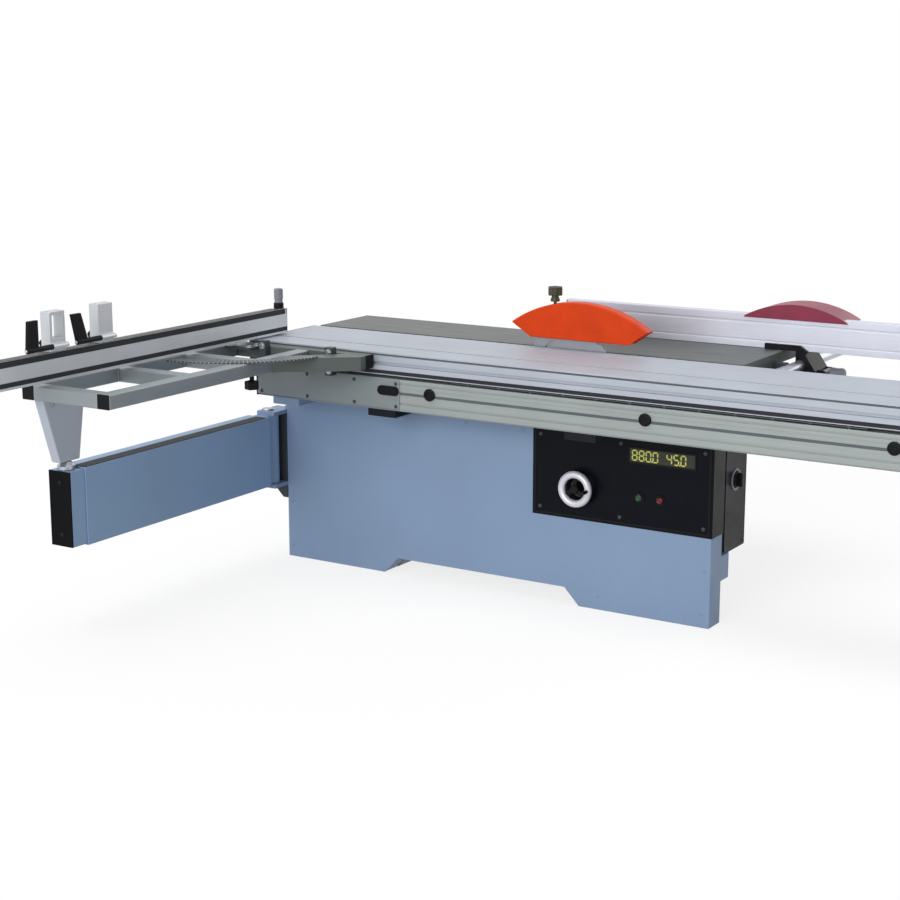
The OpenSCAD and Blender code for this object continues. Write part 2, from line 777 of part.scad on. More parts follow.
module fence_head() {
    color(black) difference() {
        union() {
            draw_y(rip_y0 - foot_t, head_y0 + head_l) polygon([
                [head_x0, head_low], [head_x1, head_low], [head_x1, head_low + head_nose],
                [head_x0 + upright_w, head_top], [head_x0, head_top]
            ]);
            draw_y(rip_y0 - foot_t, rip_y0 - slide_fit) polygon([
                [head_x0, head_top - foot_t], [head_x0 + upright_w, head_top - foot_t],
                [head_x0 + 1.5 * upright_w, rip_z0], [head_x0 + upright_w / 2, rip_z0 + foot_rise],
                [head_x0 - foot_l, rip_z0 + foot_rise], [head_x0 - foot_l, rip_z0], [head_x0, rip_z0]
            ]);
            span(head_x0, head_x0 + upright_w, rip_y1 + slide_fit, head_y0 + head_l,
                 head_top - 1, upright_top);
            for (y = lug_y) {
                span(head_x1 - 20, lever_x, y, y + lug_w, lever_z - lever_r, lever_z + lever_r);
                bar_along_y(lever_r, y, y + lug_w, lever_x, lever_z);
            }
            bar_along_y(lever_pin_r, lug_y[0], lug_y[1], lever_x, lever_z);
        }
        bar_along_y(bar_r + run_fit, rip_y0 - foot_t - 1, head_y0 + head_l + 1, bar_x, bar_z);
    }
}

module fence_lever() {
    barrel_y0 = lug_y[0] + lug_w + slide_fit;
    barrel_y1 = lug_y[1] - slide_fit;
    grip_y = (barrel_y0 + barrel_y1) / 2;
    color(post_grey) difference() {
        union() {
            bar_along_y(lever_r - 1, barrel_y0, barrel_y1, lever_x, lever_z);
            bar_along_x(lever_r / 2, lever_x, lever_x + lever_r * 2, grip_y, lever_z);
            bar_along_x(grip_r, lever_x + lever_r, lever_x + lever_r + grip_l, grip_y, lever_z);
        }
        bar_along_y(lever_pin_r + run_fit, barrel_y0 - 1, barrel_y1 + 1, lever_x, lever_z);
    }
}

// Slice of a disc that stands on its chord, with a low lip at both tips
module arch(length, rise) {
    lip = 4;
    r = (length * length / 4 + pow(rise - lip, 2)) / (2 * (rise - lip));
    intersection() {
        translate([0, rise - r]) circle(r = r, $fn = 128);
        translate([-length / 2, 0]) square([length, rise]);
    }
}

module fence_head_cover() {
    middle = (head_x0 + head_x1) / 2 - 50;
    color(maroon) difference() {
        translate([middle, 0, upright_top]) draw_y(rip_y0 - 5, rip_y1 + 92) arch(cover_l, cover_h);
        translate([middle, 0, upright_top - 1])
            draw_y(rip_y1 + 46, rip_y1 + 88) arch(cover_l - 60, cover_h - 10);
        span(middle - cover_l, middle + cover_l, rip_y0 - slide_fit, rip_y1 + slide_fit,
             upright_top - 1, rip_z0 + rip_h + slide_fit);
    }
}

module rip_profile() {
    x1 = rip_x0 + rip_l;
    z1 = rip_z0 + rip_h;
    color(aluminium) difference() {
        span(rip_x0, x1, rip_y0, rip_y1, rip_z0, z1);
        span(rip_x0 - 1, x1 + 1, rip_y0 + profile_t, rip_y1 - profile_t,
             rip_z0 + profile_t, rip_z0 + rip_h / 2 - 3);
        span(rip_x0 - 1, x1 + 1, rip_y0 + profile_t, rip_y1 - profile_t,
             rip_z0 + rip_h / 2 + 3, z1 - profile_t);
        span(rip_x0 - 1, x1 + 1, rip_y0 - 1, rip_y0 + 3, z1 - 34, z1 - 26);
    }
}

// Saw unit

track_r1 = trunnion_r + trunnion_t;
tilt_sides = [tilt_x0, tilt_x1];

module trunnion_blocks() {
    color(iron) for (x = tilt_sides) {
        ring_sector(x, x + plate_t, blade_y, table_z, trunnion_r, track_r1, -130, -30);
        span(x, x + plate_t, blade_y + trunnion_r * 0.8, blade_y + track_r1 * 0.92,
             table_z - trunnion_t * 2.4, cast_under);
    }
}

module tilt_frame() {
    arc_r1 = track_r1 + 35;
    color(dark_paint) {
        for (x = tilt_sides) {
            ring_sector(x, x + plate_t, blade_y, table_z, track_r1 + slide_fit, arc_r1, -100, -40);
            translate([0, blade_y, table_z]) draw_x(x, x + plate_t) polygon([
                for (a = [-98:8:-42]) (arc_r1 - 8) * [cos(a), sin(a)],
                [300, -92], [330, -92], [330, -440], [254, -430], [64, -240]
            ]);
        }
        for (z = [top_bar_z, low_bar_z]) bar_along_x(rod_r, tilt_x0 + 1, tilt_x1 + 1, rod_y, z);
    }
}

module guide_rods() {
    color(steel) for (x = rod_x)
        bar_along_z(rod_r, low_bar_z + rod_r, top_bar_z - rod_r, x, rod_y);
}

module arbor_carriage() {
    color(iron) difference() {
        union() {
            span(saw_x - 50, rod_x[1] + 30, web_y0, web_y1, motor_z - 70, arbor_z + 30);
            span(saw_x - 205, saw_x - 49, web_y0, web_y1, arbor_z - 48, arbor_z + 30);
            span(rod_x[0] - 40, rod_x[1] + 30, web_y1 - 1, rod_y + 50, motor_z - 50, motor_z + 50);
            span(motor_x - motor_r - 8, rod_x[0] - 38, motor_plate_y, motor_plate_y + motor_plate_t,
                 motor_z - motor_r - 8, motor_z + motor_r + 8);
            bar_along_y(housing_r, housing_y0, web_y0 + 1, saw_x, arbor_z);
            span(saw_x - 205, saw_x - blade_r - knife_gap - 3, blade_y + knife_t / 2, web_y0 + 1,
                 arbor_z - 44, arbor_z - 4);
        }
        bar_along_y(arbor_r + run_fit, housing_y0 - 1, web_y1 + 1, saw_x, arbor_z);
        bar_along_y(motor_shaft_r + slide_fit, motor_plate_y - 1, motor_plate_y + motor_plate_t + 1,
                    motor_x, motor_z);
        for (x = rod_x) bar_along_z(rod_r + run_fit, motor_z - 51, motor_z + 51, x, rod_y);
    }
}

motor_shaft_r = 14;

module motor() {
    y0 = motor_plate_y + motor_plate_t;
    color(paint) difference() {
        union() {
            bar_along_y(motor_r, y0, y0 + motor_l, motor_x, motor_z);
            span(motor_x - 45, motor_x + 45, y0 + 40, y0 + 120,
                 motor_z - motor_r - 32, motor_z - motor_r + 20);
        }
        bar_along_y(motor_shaft_r + run_fit, y0 - 1, y0 + 60, motor_x, motor_z);
    }
}

module motor_pulley() {
    color(steel) {
        bar_along_y(motor_pulley_r, pulley_y0, pulley_y0 + pulley_w, motor_x, motor_z);
        bar_along_y(motor_shaft_r, pulley_y0, motor_plate_y + motor_plate_t + 55, motor_x, motor_z);
    }
}

module belt_outline(grow) {
    hull() {
        translate([motor_x, motor_z]) circle(r = motor_pulley_r + grow);
        translate([saw_x, arbor_z]) circle(r = arbor_pulley_r + grow);
    }
}

module drive_belt() {
    color(black) difference() {
        draw_y(pulley_y0 + 4, pulley_y0 + pulley_w - 4) belt_outline(slide_fit + belt_t);
        draw_y(pulley_y0, pulley_y0 + pulley_w) belt_outline(slide_fit);
    }
}

module saw_arbor() {
    color(steel) {
        bar_along_y(arbor_r, blade_y - blade_t / 2 - flange_t, pulley_y0 + pulley_w, saw_x, arbor_z);
        bar_along_y(flange_r + 5, blade_y + blade_t / 2, housing_y0 - slide_fit, saw_x, arbor_z);
        bar_along_y(arbor_pulley_r, pulley_y0, pulley_y0 + pulley_w, saw_x, arbor_z);
    }
}

module saw_blade() {
    color(aluminium) difference() {
        translate([saw_x, 0, arbor_z]) draw_y(blade_y - blade_t / 2, blade_y + blade_t / 2)
            polygon(tooth_points(blade_r, blade_teeth, 8));
        bar_along_y(arbor_r + run_fit, blade_y - blade_t, blade_y + blade_t, saw_x, arbor_z);
    }
}

module blade_flange() {
    y1 = blade_y - blade_t / 2;
    color(steel) difference() {
        union() {
            bar_along_y(flange_r, y1 - flange_t, y1, saw_x, arbor_z);
            translate([saw_x, y1, arbor_z]) rotate([90, 0, 0]) cylinder(r = 14, h = 2 * flange_t, $fn = 6);
        }
        bar_along_y(arbor_r + run_fit, y1 - flange_t - 0.01, y1 + 1, saw_x, arbor_z);
    }
}

module riving_knife() {
    inner = blade_r + knife_gap;
    color(steel) translate([saw_x, 0, arbor_z]) draw_y(blade_y - knife_t / 2, blade_y + knife_t / 2) polygon([
        for (a = [195:-6:111]) inner * [cos(a), sin(a)],
        [-60, 222], [-130, 222], [-150, 202],
        for (a = [128:9:191]) (inner + 42) * [cos(a), sin(a)]
    ]);
}

module guard_outline(inset) {
    intersection() {
        translate([guard_mid_x, guard_arc_z]) circle(r = guard_arc_r - inset, $fn = 128);
        polygon([
            [guard_x0 + inset, guard_tip_z], [guard_x0 + 80, guard_z0], [guard_x1 - 72, guard_z0],
            [guard_x1 - inset, guard_tip_z], [guard_x1, guard_tip_z + 2 * guard_rise],
            [guard_x0, guard_tip_z + 2 * guard_rise]
        ]);
    }
}

module blade_guard() {
    half = guard_w / 2;
    cheek_gap = knife_t / 2 + slide_fit;
    color(orange) difference() {
        union() {
            difference() {
                draw_y(blade_y - half, blade_y + half) guard_outline(0);
                draw_y(blade_y - half + guard_t, blade_y + half - guard_t) union() {
                    guard_outline(guard_t);
                    translate([guard_x0 + 82, guard_z0 - 1]) square([guard_l - 156, 2]);
                }
            }
            for (side = [-1, 1])
                translate([0, blade_y + side * (half + cheek_gap) / 2, 0])
                    span(knob_x - 30, knob_x + 30, -(half - cheek_gap) / 2, (half - cheek_gap) / 2,
                         guard_z0 + 45, guard_z0 + 80);
        }
        bar_along_z(knob_stem_r + run_fit, knob_seat_z - 12, knob_seat_z + 5, knob_x, blade_y);
    }
}

module guard_knob() {
    color(dark_paint) {
        bar_along_z(knob_stem_r, knob_seat_z - 4, knob_seat_z + 30, knob_x, blade_y);
        bar_along_z(guard_knob_r * 0.6, knob_seat_z + 8, knob_seat_z + 30, knob_x, blade_y);
        bar_along_z(guard_knob_r, knob_seat_z + 30, knob_seat_z + 62, knob_x, blade_y);
    }
}

scoring_y1 = blade_y + 100;

module scoring_arm() {
    color(iron) difference() {
        union() {
            bar_along_y(22, blade_y + 12, scoring_y1, scoring_x, scoring_z);
            span(scoring_x - 20, scoring_x + 20, blade_y + 60, blade_y + 90, table_z - 190, scoring_z);
            span(scoring_x - 20, tilt_x1, blade_y + 60, blade_y + 90, table_z - 190, table_z - 160);
        }
        bar_along_y(scoring_shaft_r + run_fit, blade_y, scoring_y1 + 1, scoring_x, scoring_z);
    }
}

module scoring_blade() {
    half = blade_t / 2 - 0.2;
    color(steel) {
        translate([scoring_x, 0, scoring_z]) draw_y(blade_y - half, blade_y + half)
            polygon(tooth_points(scoring_r, 24, 4));
        bar_along_y(scoring_shaft_r, blade_y - 4, scoring_y1, scoring_x, scoring_z);
        bar_along_y(scoring_shaft_r + 10, blade_y + half, blade_y + 12 - slide_fit, scoring_x, scoring_z);
    }
}

// Swing arm

module arm_bracket() {
    plate_x0 = apron_x0 - 8;
    color(dark_paint) difference() {
        union() {
            span(plate_x0, apron_x0, front_y, apron_back_y - 4, arm_z - 30, arm_top + 30);
            for (z = [arm_z - lug_t - slide_fit, arm_top + slide_fit])
                span(arm_x - 30, apron_x0, arm_pivot_y - 30, front_y + 50, z, z + lug_t);
        }
        bar_along_z(arm_pin_r, arm_z - 40, arm_top + 40, arm_x, arm_pivot_y);
    }
}

module arm_pivot_pin() {
    color(steel) {
        bar_along_z(arm_pin_r, arm_z - lug_t - slide_fit - 3, arm_top + lug_t + slide_fit,
                    arm_x, arm_pivot_y);
        bar_along_z(arm_pin_r + 8, arm_top + lug_t + slide_fit, arm_top + lug_t + 8, arm_x, arm_pivot_y);
    }
}

module arm_outer() {
    half = arm_w / 2;
    color(paint) difference() {
        union() {
            span(arm_x - half, arm_x + half, arm_y1, arm_y0, arm_z, arm_top);
            span(arm_x - 30, arm_x + 30, arm_y0 - 1, arm_pivot_y, arm_z, arm_top);
            bar_along_z(40, arm_z, arm_top, arm_x, arm_pivot_y);
        }
        span(arm_x - half + arm_t, arm_x + half - arm_t, arm_y1 - 1, arm_y0 - arm_t,
             arm_z + arm_t, arm_top - arm_t);
        bar_along_z(arm_pin_r + run_fit, arm_z - 1, arm_top + 1, arm_x, arm_pivot_y);
    }
}

module arm_inner() {
    half = arm_w / 2 - arm_t - tube_fit;
    low = arm_z + arm_t + tube_fit;
    wall = arm_t;
    color(paint) difference() {
        span(arm_x - half, arm_x + half, inner_y1, arm_y1 + inner_hidden, low, inner_top);
        span(arm_x - half + wall, arm_x + half - wall, inner_y1 - 1, arm_y1 + inner_hidden + 1,
             low + wall, inner_top - wall);
    }
}

module arm_end_cap() {
    half = arm_w / 2 - arm_t - tube_fit;
    color(black) span(arm_x - half, arm_x + half, inner_y1 - cap_t, inner_y1,
                      arm_z + arm_t + tube_fit, inner_top);
}

// Outrigger

module outrigger_frame() {
    tube = outrigger_tube;
    beam_y = outrigger_y0 - tube;
    color(aluminium) difference() {
        union() {
            span(outrigger_x0, outrigger_x0 + beam_l, beam_y, outrigger_y0, outrigger_z0, outrigger_top);
            for (x = [outrigger_x0, outrigger_x1 - tube])
                span(x, x + tube, outrigger_y1, beam_y + 1, outrigger_z0, outrigger_top);
            for (y = [beam_y - 300, beam_y - 650, outrigger_y1])
                span(outrigger_x0 + 1, outrigger_x1 - 1, y, y + tube, outrigger_z0, outrigger_top);
            span(outrigger_x0 + 1, fence_x + fence_t * 2, fence_pivot_y - fence_t, beam_y + 1,
                 outrigger_top - pivot_plate_t, outrigger_top);
            translate([0, 0, outrigger_z0]) linear_extrude(tube) polygon([
                [outrigger_x1 - 1, beam_y + 1], [outrigger_x0 + beam_l, beam_y + 1],
                [outrigger_x0 + beam_l, beam_y - 30], [outrigger_x1 - 1, beam_y - 220],
                [outrigger_x1 - 1, beam_y - 160], [outrigger_x0 + beam_l - 90, beam_y]
            ]);
        }
        bar_along_z(fence_pin_r + run_fit, outrigger_top - pivot_plate_t - 1, outrigger_top + 1,
                    fence_x, fence_pivot_y);
        bar_along_z(lock_stem_r + run_fit, outrigger_z0 - 1, outrigger_z0 + 30,
                    outrigger_x1 - tube / 2, lock_knob_y);
    }
}

clamp_places = [outrigger_x0 + 186, outrigger_x0 + beam_l - 141];
clamp_lead = 30;

module outrigger_clamps() {
    color(dark_paint) for (x = clamp_places) {
        span(x - 40, x + 40, outrigger_y0, slide_y0 - slide_fit, outrigger_z0 - 6, outrigger_top);
        span(x - 16, x + 16, outrigger_y0 - outrigger_tube - clamp_lead, outrigger_y0 - outrigger_tube,
             outrigger_z0 - clamp_lead, outrigger_top + 22);
        span(x - 30, x + 30, slide_y0 - slide_fit - 1, slide_y0 + slot_d - 1,
             slot_z - slot_w / 2 + slide_fit, slot_z + slot_w / 2 - slide_fit);
    }
}

module outrigger_knob() {
    x = outrigger_x1 - outrigger_tube / 2;
    color(black) {
        bar_along_z(lock_stem_r, outrigger_z0 - 24, outrigger_z0 + 26, x, lock_knob_y);
        bar_along_z(lock_knob_r, outrigger_z0 - 50, outrigger_z0 - 20, x, lock_knob_y);
    }
}

module support_post() {
    half = post_t / 2;
    top_y = outrigger_y1 + post_set;
    color(post_grey) difference() {
        draw_x(arm_x - half, arm_x + half) polygon([
            [top_y, outrigger_z0], [top_y + post_top_w, outrigger_z0],
            [post_y + post_foot_w / 2, foot_z + foot_h + slide_fit],
            [post_y - post_foot_w / 2, foot_z + foot_h + slide_fit]
        ]);
        bar_along_z(foot_stem_r + run_fit, foot_z, foot_z + foot_h + 60, arm_x, post_y);
    }
}

module post_foot() {
    color(steel) {
        bar_along_z(foot_r, foot_z, foot_z + foot_h, arm_x, post_y);
        bar_along_z(foot_stem_r, foot_z + foot_h - 1, foot_z + foot_h + 55, arm_x, post_y);
    }
}

module mitre_quadrant() {
    reach = 2 * quadrant_r;
    color(aluminium) translate([fence_x, fence_pivot_y, outrigger_top]) intersection() {
        difference() {
            cylinder(r = quadrant_r, h = quadrant_t);
            translate([0, 0, -1]) cylinder(r = quadrant_r - quadrant_w, h = quadrant_t + 2);
        }
        translate([0, 0, -1]) linear_extrude(quadrant_t + 2)
            polygon([[0, 0], for (a = [-88, -50, -12]) reach * [cos(a), sin(a)]]);
    }
}

module crosscut_fence() {
    half = fence_t / 2;
    color(aluminium) {
        difference() {
            span(fence_x - half, fence_x + half, fence_y0, fence_y1, fence_z0, fence_top);
            span(fence_x - half + fence_wall, fence_x + half - fence_wall, fence_y0 - 1, fence_y1 + 1,
                 fence_z0 + fence_wall, fence_top - fence_wall);
        }
        bar_along_z(24, outrigger_top + slide_fit, fence_z0, fence_x, fence_pivot_y);
        bar_along_z(fence_pin_r, outrigger_top - pivot_plate_t, outrigger_top + 1, fence_x, fence_pivot_y);
    }
}

module fence_extension() {
    half = fence_t / 2 - fence_wall - tube_fit;
    color(aluminium) span(fence_x - half, fence_x + half,
                          fence_y0 - extension_show, fence_y0 + extension_hidden,
                          fence_z0 + fence_wall + tube_fit, fence_top - fence_wall - tube_fit);
}

module fence_post() {
    y = fence_y1 - 24;
    color(steel) {
        bar_along_z(19, fence_top, fence_top + 22, fence_x, y);
        bar_along_z(17, fence_top + 21, fence_top + 75, fence_x, y);
    }
}

// Flip stop: a block that slides along the fence, and a finger on a pin that runs along the fence
finger_x = fence_x + fence_t / 2 + 10;
finger_z = fence_top + 20;

module stop_block(y, open) {
    half = fence_t / 2;
    difference() {
        union() {
            span(fence_x - half, fence_x + half, y, y + stop_l, fence_top + slide_fit, fence_top + stop_h);
            span(fence_x + half - 1, finger_x, y, y + stop_l, finger_z - 8, finger_z + 8);
            bar_along_y(8, y, y + stop_l, finger_x, finger_z);
            bar_along_y(finger_pin_r, y - finger_out - finger_w - 4, y + 1, finger_x, finger_z);
        }
        if (open) span(fence_x - half - 1, fence_x + half + 1, y + stop_wall, y + stop_l - stop_wall,
                       finger_z + 2 * stop_wall, fence_top + stop_h - stop_wall);
    }
}

module stop_finger(y, lean) {
    y0 = y - finger_out - finger_w;
    y1 = y - finger_out;
    half = finger_t / 2;
    top = fence_top + stop_h - finger_w / 2;
    color(black) difference() {
        union() {
            bar_along_y(9, y0, y - slide_fit, finger_x, finger_z);
            draw_x(finger_x - half, finger_x + half) polygon([
                [y0, finger_z], [y1, finger_z],
                [y1 - finger_w / 4 - lean, top], [y0 + finger_w / 4 - lean, top]
            ]);
        }
        bar_along_y(finger_pin_r + run_fit, y0 - finger_lean, y + 1, finger_x, finger_z);
    }
}

module stop_a_block() { color(aluminium) stop_block(stop_a_y, false); }
module stop_a_finger() { stop_finger(stop_a_y, finger_lean); }
module stop_b_block() { color(aluminium) stop_block(stop_b_y, true); }
module stop_b_finger() { stop_finger(stop_b_y, 0); }

front_apron();
main_cabinet();
rear_door();
dust_port();
control_box();
readout_display();
start_button();
stop_button();
isolator_switch();
lift_handwheel();
tilt_handwheel();
rail_brackets();
slide_rail();
rail_end_caps();
rail_plugs();
roller_cage();
sliding_table();
slide_end_caps();
saw_table();
extension_table();
extension_braces();
guide_bar();
bar_brackets();
fence_head();
fence_head_cover();
rip_profile();
fence_lever();
trunnion_blocks();
tilt_frame();
guide_rods();
arbor_carriage();
motor();
motor_pulley();
drive_belt();
saw_arbor();
saw_blade();
blade_flange();
riving_knife();
blade_guard();
guard_knob();
scoring_arm();
scoring_blade();
arm_bracket();
arm_pivot_pin();
arm_outer();
arm_inner();
arm_end_cap();
outrigger_frame();
outrigger_clamps();
outrigger_knob();
support_post();
post_foot();
mitre_quadrant();
crosscut_fence();
fence_extension();
fence_post();
stop_a_block();
stop_a_finger();
stop_b_block();
stop_b_finger();
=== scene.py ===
import math

import bpy
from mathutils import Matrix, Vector


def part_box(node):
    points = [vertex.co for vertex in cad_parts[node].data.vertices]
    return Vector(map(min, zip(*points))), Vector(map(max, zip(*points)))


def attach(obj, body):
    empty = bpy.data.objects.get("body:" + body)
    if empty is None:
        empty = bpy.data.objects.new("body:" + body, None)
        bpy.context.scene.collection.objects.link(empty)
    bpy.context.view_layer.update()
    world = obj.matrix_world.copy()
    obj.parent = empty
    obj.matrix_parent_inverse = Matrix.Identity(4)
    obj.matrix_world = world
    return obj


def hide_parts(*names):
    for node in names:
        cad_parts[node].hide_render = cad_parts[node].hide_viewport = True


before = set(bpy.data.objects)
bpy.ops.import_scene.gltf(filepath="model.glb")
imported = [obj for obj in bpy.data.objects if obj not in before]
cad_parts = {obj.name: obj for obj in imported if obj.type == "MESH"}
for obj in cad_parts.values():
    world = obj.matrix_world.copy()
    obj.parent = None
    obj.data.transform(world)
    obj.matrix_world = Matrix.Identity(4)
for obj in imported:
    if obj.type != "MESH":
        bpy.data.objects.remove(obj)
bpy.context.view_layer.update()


# Hand tools for shaping pieces, which take lengths in millimetres and draw in metres

MM = 0.001
AXES = {"x": Vector((1, 0, 0)), "y": Vector((0, 1, 0)), "z": Vector((0, 0, 1))}
SIDES = {"x": Vector((0, 0, 1)), "y": Vector((1, 0, 0)), "z": Vector((1, 0, 0))}
HERE = (0, 0, 0)


def deselect():
    if bpy.context.object and bpy.context.object.mode != "OBJECT":
        bpy.ops.object.mode_set(mode="OBJECT")
    bpy.ops.object.select_all(action="DESELECT")


def pick(*pieces):
    deselect()
    for piece in pieces:
        piece.select_set(True)
    bpy.context.view_layer.objects.active = pieces[0]


def open_mesh(piece, kind="VERT"):
    pick(piece)
    bpy.ops.object.mode_set(mode="EDIT")
    bpy.ops.mesh.select_mode(type=kind)
    bpy.ops.mesh.select_all(action="SELECT")


def close_mesh():
    bpy.ops.object.mode_set(mode="OBJECT")


def choose_faces(piece, test):
    open_mesh(piece, "FACE")
    bpy.ops.mesh.select_all(action="DESELECT")
    close_mesh()
    for face in piece.data.polygons:
        face.select = test(face.center / MM, face.normal)
    bpy.ops.object.mode_set(mode="EDIT")


def choose_edges(piece, test):
    open_mesh(piece, "EDGE")
    bpy.ops.mesh.select_all(action="DESELECT")
    close_mesh()
    for edge in piece.data.edges:
        edge.select = all(test(piece.data.vertices[n].co / MM) for n in edge.vertices)
    bpy.ops.object.mode_set(mode="EDIT")


def block(name, low, high):
    deselect()
    bpy.ops.mesh.primitive_cube_add(size=1, location=[(a + b) / 2 * MM for a, b in zip(low, high)])
    piece = bpy.context.object
    piece.name = name
    piece.scale = [(b - a) * MM for a, b in zip(low, high)]
    bpy.ops.object.transform_apply(location=True, rotation=True, scale=True)
    return piece


def draw_line(name, points):
    deselect()
    spots = [Vector(point) * MM for point in points]
    bpy.ops.mesh.primitive_plane_add(size=MM, location=spots[0])
    piece = bpy.context.object
    piece.name = name
    bpy.ops.object.transform_apply(location=True, rotation=True, scale=True)
    open_mesh(piece)
    bpy.ops.mesh.merge(type="CENTER")
    for here, there in zip(spots, spots[1:]):
        bpy.ops.mesh.extrude_region_move(TRANSFORM_OT_translate={"value": there - here})
    bpy.ops.mesh.select_all(action="SELECT")
    return piece


def draw_solid(name, points, pull):
    piece = draw_line(name, points)
    bpy.ops.mesh.edge_face_add()
    bpy.ops.mesh.extrude_region_move(TRANSFORM_OT_translate={"value": Vector(pull) * MM})
    bpy.ops.mesh.select_all(action="SELECT")
    bpy.ops.mesh.normals_make_consistent(inside=False)
    close_mesh()
    return piece


def extrude(name, axis, start, end, outline):
    spot = "xyz".index(axis)
    points = [(*pair[:spot], start, *pair[spot:]) for pair in outline]
    return draw_solid(name, points, AXES[axis] * (end - start))


def turn(name, outline, centre, axis, steps=48):
    spots = [Vector(centre) + AXES[axis] * along + SIDES[axis] * radius for radius, along in outline]
    piece = draw_line(name, spots)
    bpy.ops.mesh.spin(steps=steps, angle=2 * math.pi, center=Vector(centre) * MM, axis=AXES[axis])
    bpy.ops.mesh.select_all(action="SELECT")
    bpy.ops.mesh.remove_doubles(threshold=4e-6)
    bpy.ops.mesh.dissolve_degenerate(threshold=1e-7)
    bpy.ops.mesh.select_all(action="SELECT")
    bpy.ops.mesh.normals_make_consistent(inside=False)
    close_mesh()
    return piece


def rod(name, radius, start, end, centre, axis, steps=40):
    return turn(name, [(0, start), (radius, start), (radius, end), (0, end)], centre, axis, steps)


def sleeve(name, bore, radius, chamfer, length, centre, axis, steps):
    outer = radius - chamfer
    return turn(name, [(bore, 0), (outer, 0), (radius, chamfer), (radius, length - chamfer), (outer, length),
                       (bore, length), (bore, 0)], centre, axis, steps)


def finish_with(piece, kind, **settings):
    tool = piece.modifiers.new("tool", kind)
    for key, value in settings.items():
        setattr(tool, key, value)
    pick(piece)
    bpy.ops.object.modifier_apply(modifier=tool.name)
    return piece


def round_edges(piece, width, steps=2, angle=35):
    return finish_with(piece, "BEVEL", width=width * MM, segments=steps, limit_method="ANGLE",
                       angle_limit=math.radians(angle), miter_outer="MITER_ARC")


def soft_block(name, low, high, width, steps=3):
    return round_edges(block(name, low, high), width, steps)


def carve(piece, *cutters):
    for cutter in cutters:
        finish_with(piece, "BOOLEAN", object=cutter, operation="DIFFERENCE", solver="EXACT")
        bpy.data.objects.remove(cutter)
    return piece


def groove(piece, low, high, band, depth):
    return carve(piece, block("groove", (low[0] - 10, low[1] - 10, band[0]),
                              (high[0] + 10, low[1] + depth, band[1])))


def window_frame(name, low, high, rim):
    return carve(block(name, low, high), block("middle", (low[0] + rim, low[1] - 10, low[2] + rim),
                                               (high[0] - rim, high[1] + 10, high[2] - rim)))


def press(piece, test, margin, shift):
    choose_faces(piece, test)
    bpy.ops.mesh.inset(thickness=margin * MM)
    bpy.ops.transform.translate(value=Vector(shift) * MM)
    close_mesh()
    return piece


def dish(piece, side, margin, depth):
    out = AXES[side[1]] * (1 if side[0] == "+" else -1)
    return press(piece, lambda c, n: n.dot(out) > 0.9, margin, -depth * out)


def join(name, *pieces):
    pick(*pieces)
    if len(pieces) > 1:
        bpy.ops.object.join()
    pieces[0].name = name
    return pieces[0]


def copy_of(piece, shift=HERE, quarter_turns=None):
    pick(piece)
    bpy.ops.object.duplicate(linked=False)
    twin = bpy.context.object
    if quarter_turns:
        twin.rotation_euler = [math.radians(90) * n for n in quarter_turns]
        bpy.ops.object.transform_apply(location=False, rotation=True, scale=False)
    bpy.ops.transform.translate(value=Vector(shift) * MM)
    bpy.ops.object.transform_apply(location=True, rotation=False, scale=False)
    return twin


def around(piece, count, centre, axis):
    copies = [piece]
    for n in range(1, count):
        twin = copy_of(piece)
        open_mesh(twin)
        bpy.ops.transform.rotate(value=2 * math.pi * n / count, orient_axis=axis.upper(),
                                 center_override=Vector(centre) * MM)
        close_mesh()
        copies.append(twin)
    return copies


def grid(*places):
    return [(x, y, z) for x in places[0] for y in places[1] for z in places[2]]


def ring_points(centre, radius, axis, count=24, start=0.0, sweep=360.0):
    one = SIDES[axis]
    two = AXES[axis].cross(one)
    steps = count if sweep == 360.0 else count - 1
    angles = [math.radians(start + sweep * i / steps) for i in range(count)]
    return [Vector(centre) + radius * (math.cos(a) * one + math.sin(a) * two) for a in angles]


def box_of(node):
    low, high = [[v / MM for v in corner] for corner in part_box(node)]
    return low, high, [(a + b) / 2 for a, b in zip(low, high)]


def copy_node(node):
    piece = bpy.data.objects.new(node + "_skin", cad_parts[node].data.copy())
    bpy.context.collection.objects.link(piece)
    open_mesh(piece)
    bpy.ops.mesh.remove_doubles(threshold=1e-5)
    bpy.ops.mesh.dissolve_limited(angle_limit=math.radians(0.5))
    close_mesh()
    return piece


# Fitting gives a piece its finish, smooth shading and body, and hides the parts it stands for


def fit(piece, body, finish, *stands_for, slot=None):
    piece.data.materials.clear()
    piece.data.materials.append(finish)
    pick(piece)
    bpy.ops.object.shade_smooth_by_angle(angle=math.radians(35))
    finish_with(piece, "WEIGHTED_NORMAL", keep_sharp=True)
    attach(piece, body)
    if stands_for:
        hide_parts(*stands_for)
    return piece


def skin(node, body, finish, width, steps=2, angle=35):
    return fit(round_edges(copy_node(node), width, steps, angle), body, finish, node)


# Finishes, whose textures are measured in metres

def tone(colour, factor=1.0):
    parts = [v / 255 for v in colour]
    linear = [p / 12.92 if p <= 0.04045 else ((p + 0.055) / 1.055) ** 2.4 for p in parts]
    return [min(1.0, c * factor) for c in linear] + [1.0]


def add_node(tree, kind, *links, **settings):
    node = tree.nodes.new(kind)
    for key, value in settings.items():
        setattr(node, key, value)
    for socket, value in links:
        if isinstance(value, bpy.types.NodeSocket):
            tree.links.new(value, node.inputs[socket])
        else:
            node.inputs[socket].default_value = value
    return node


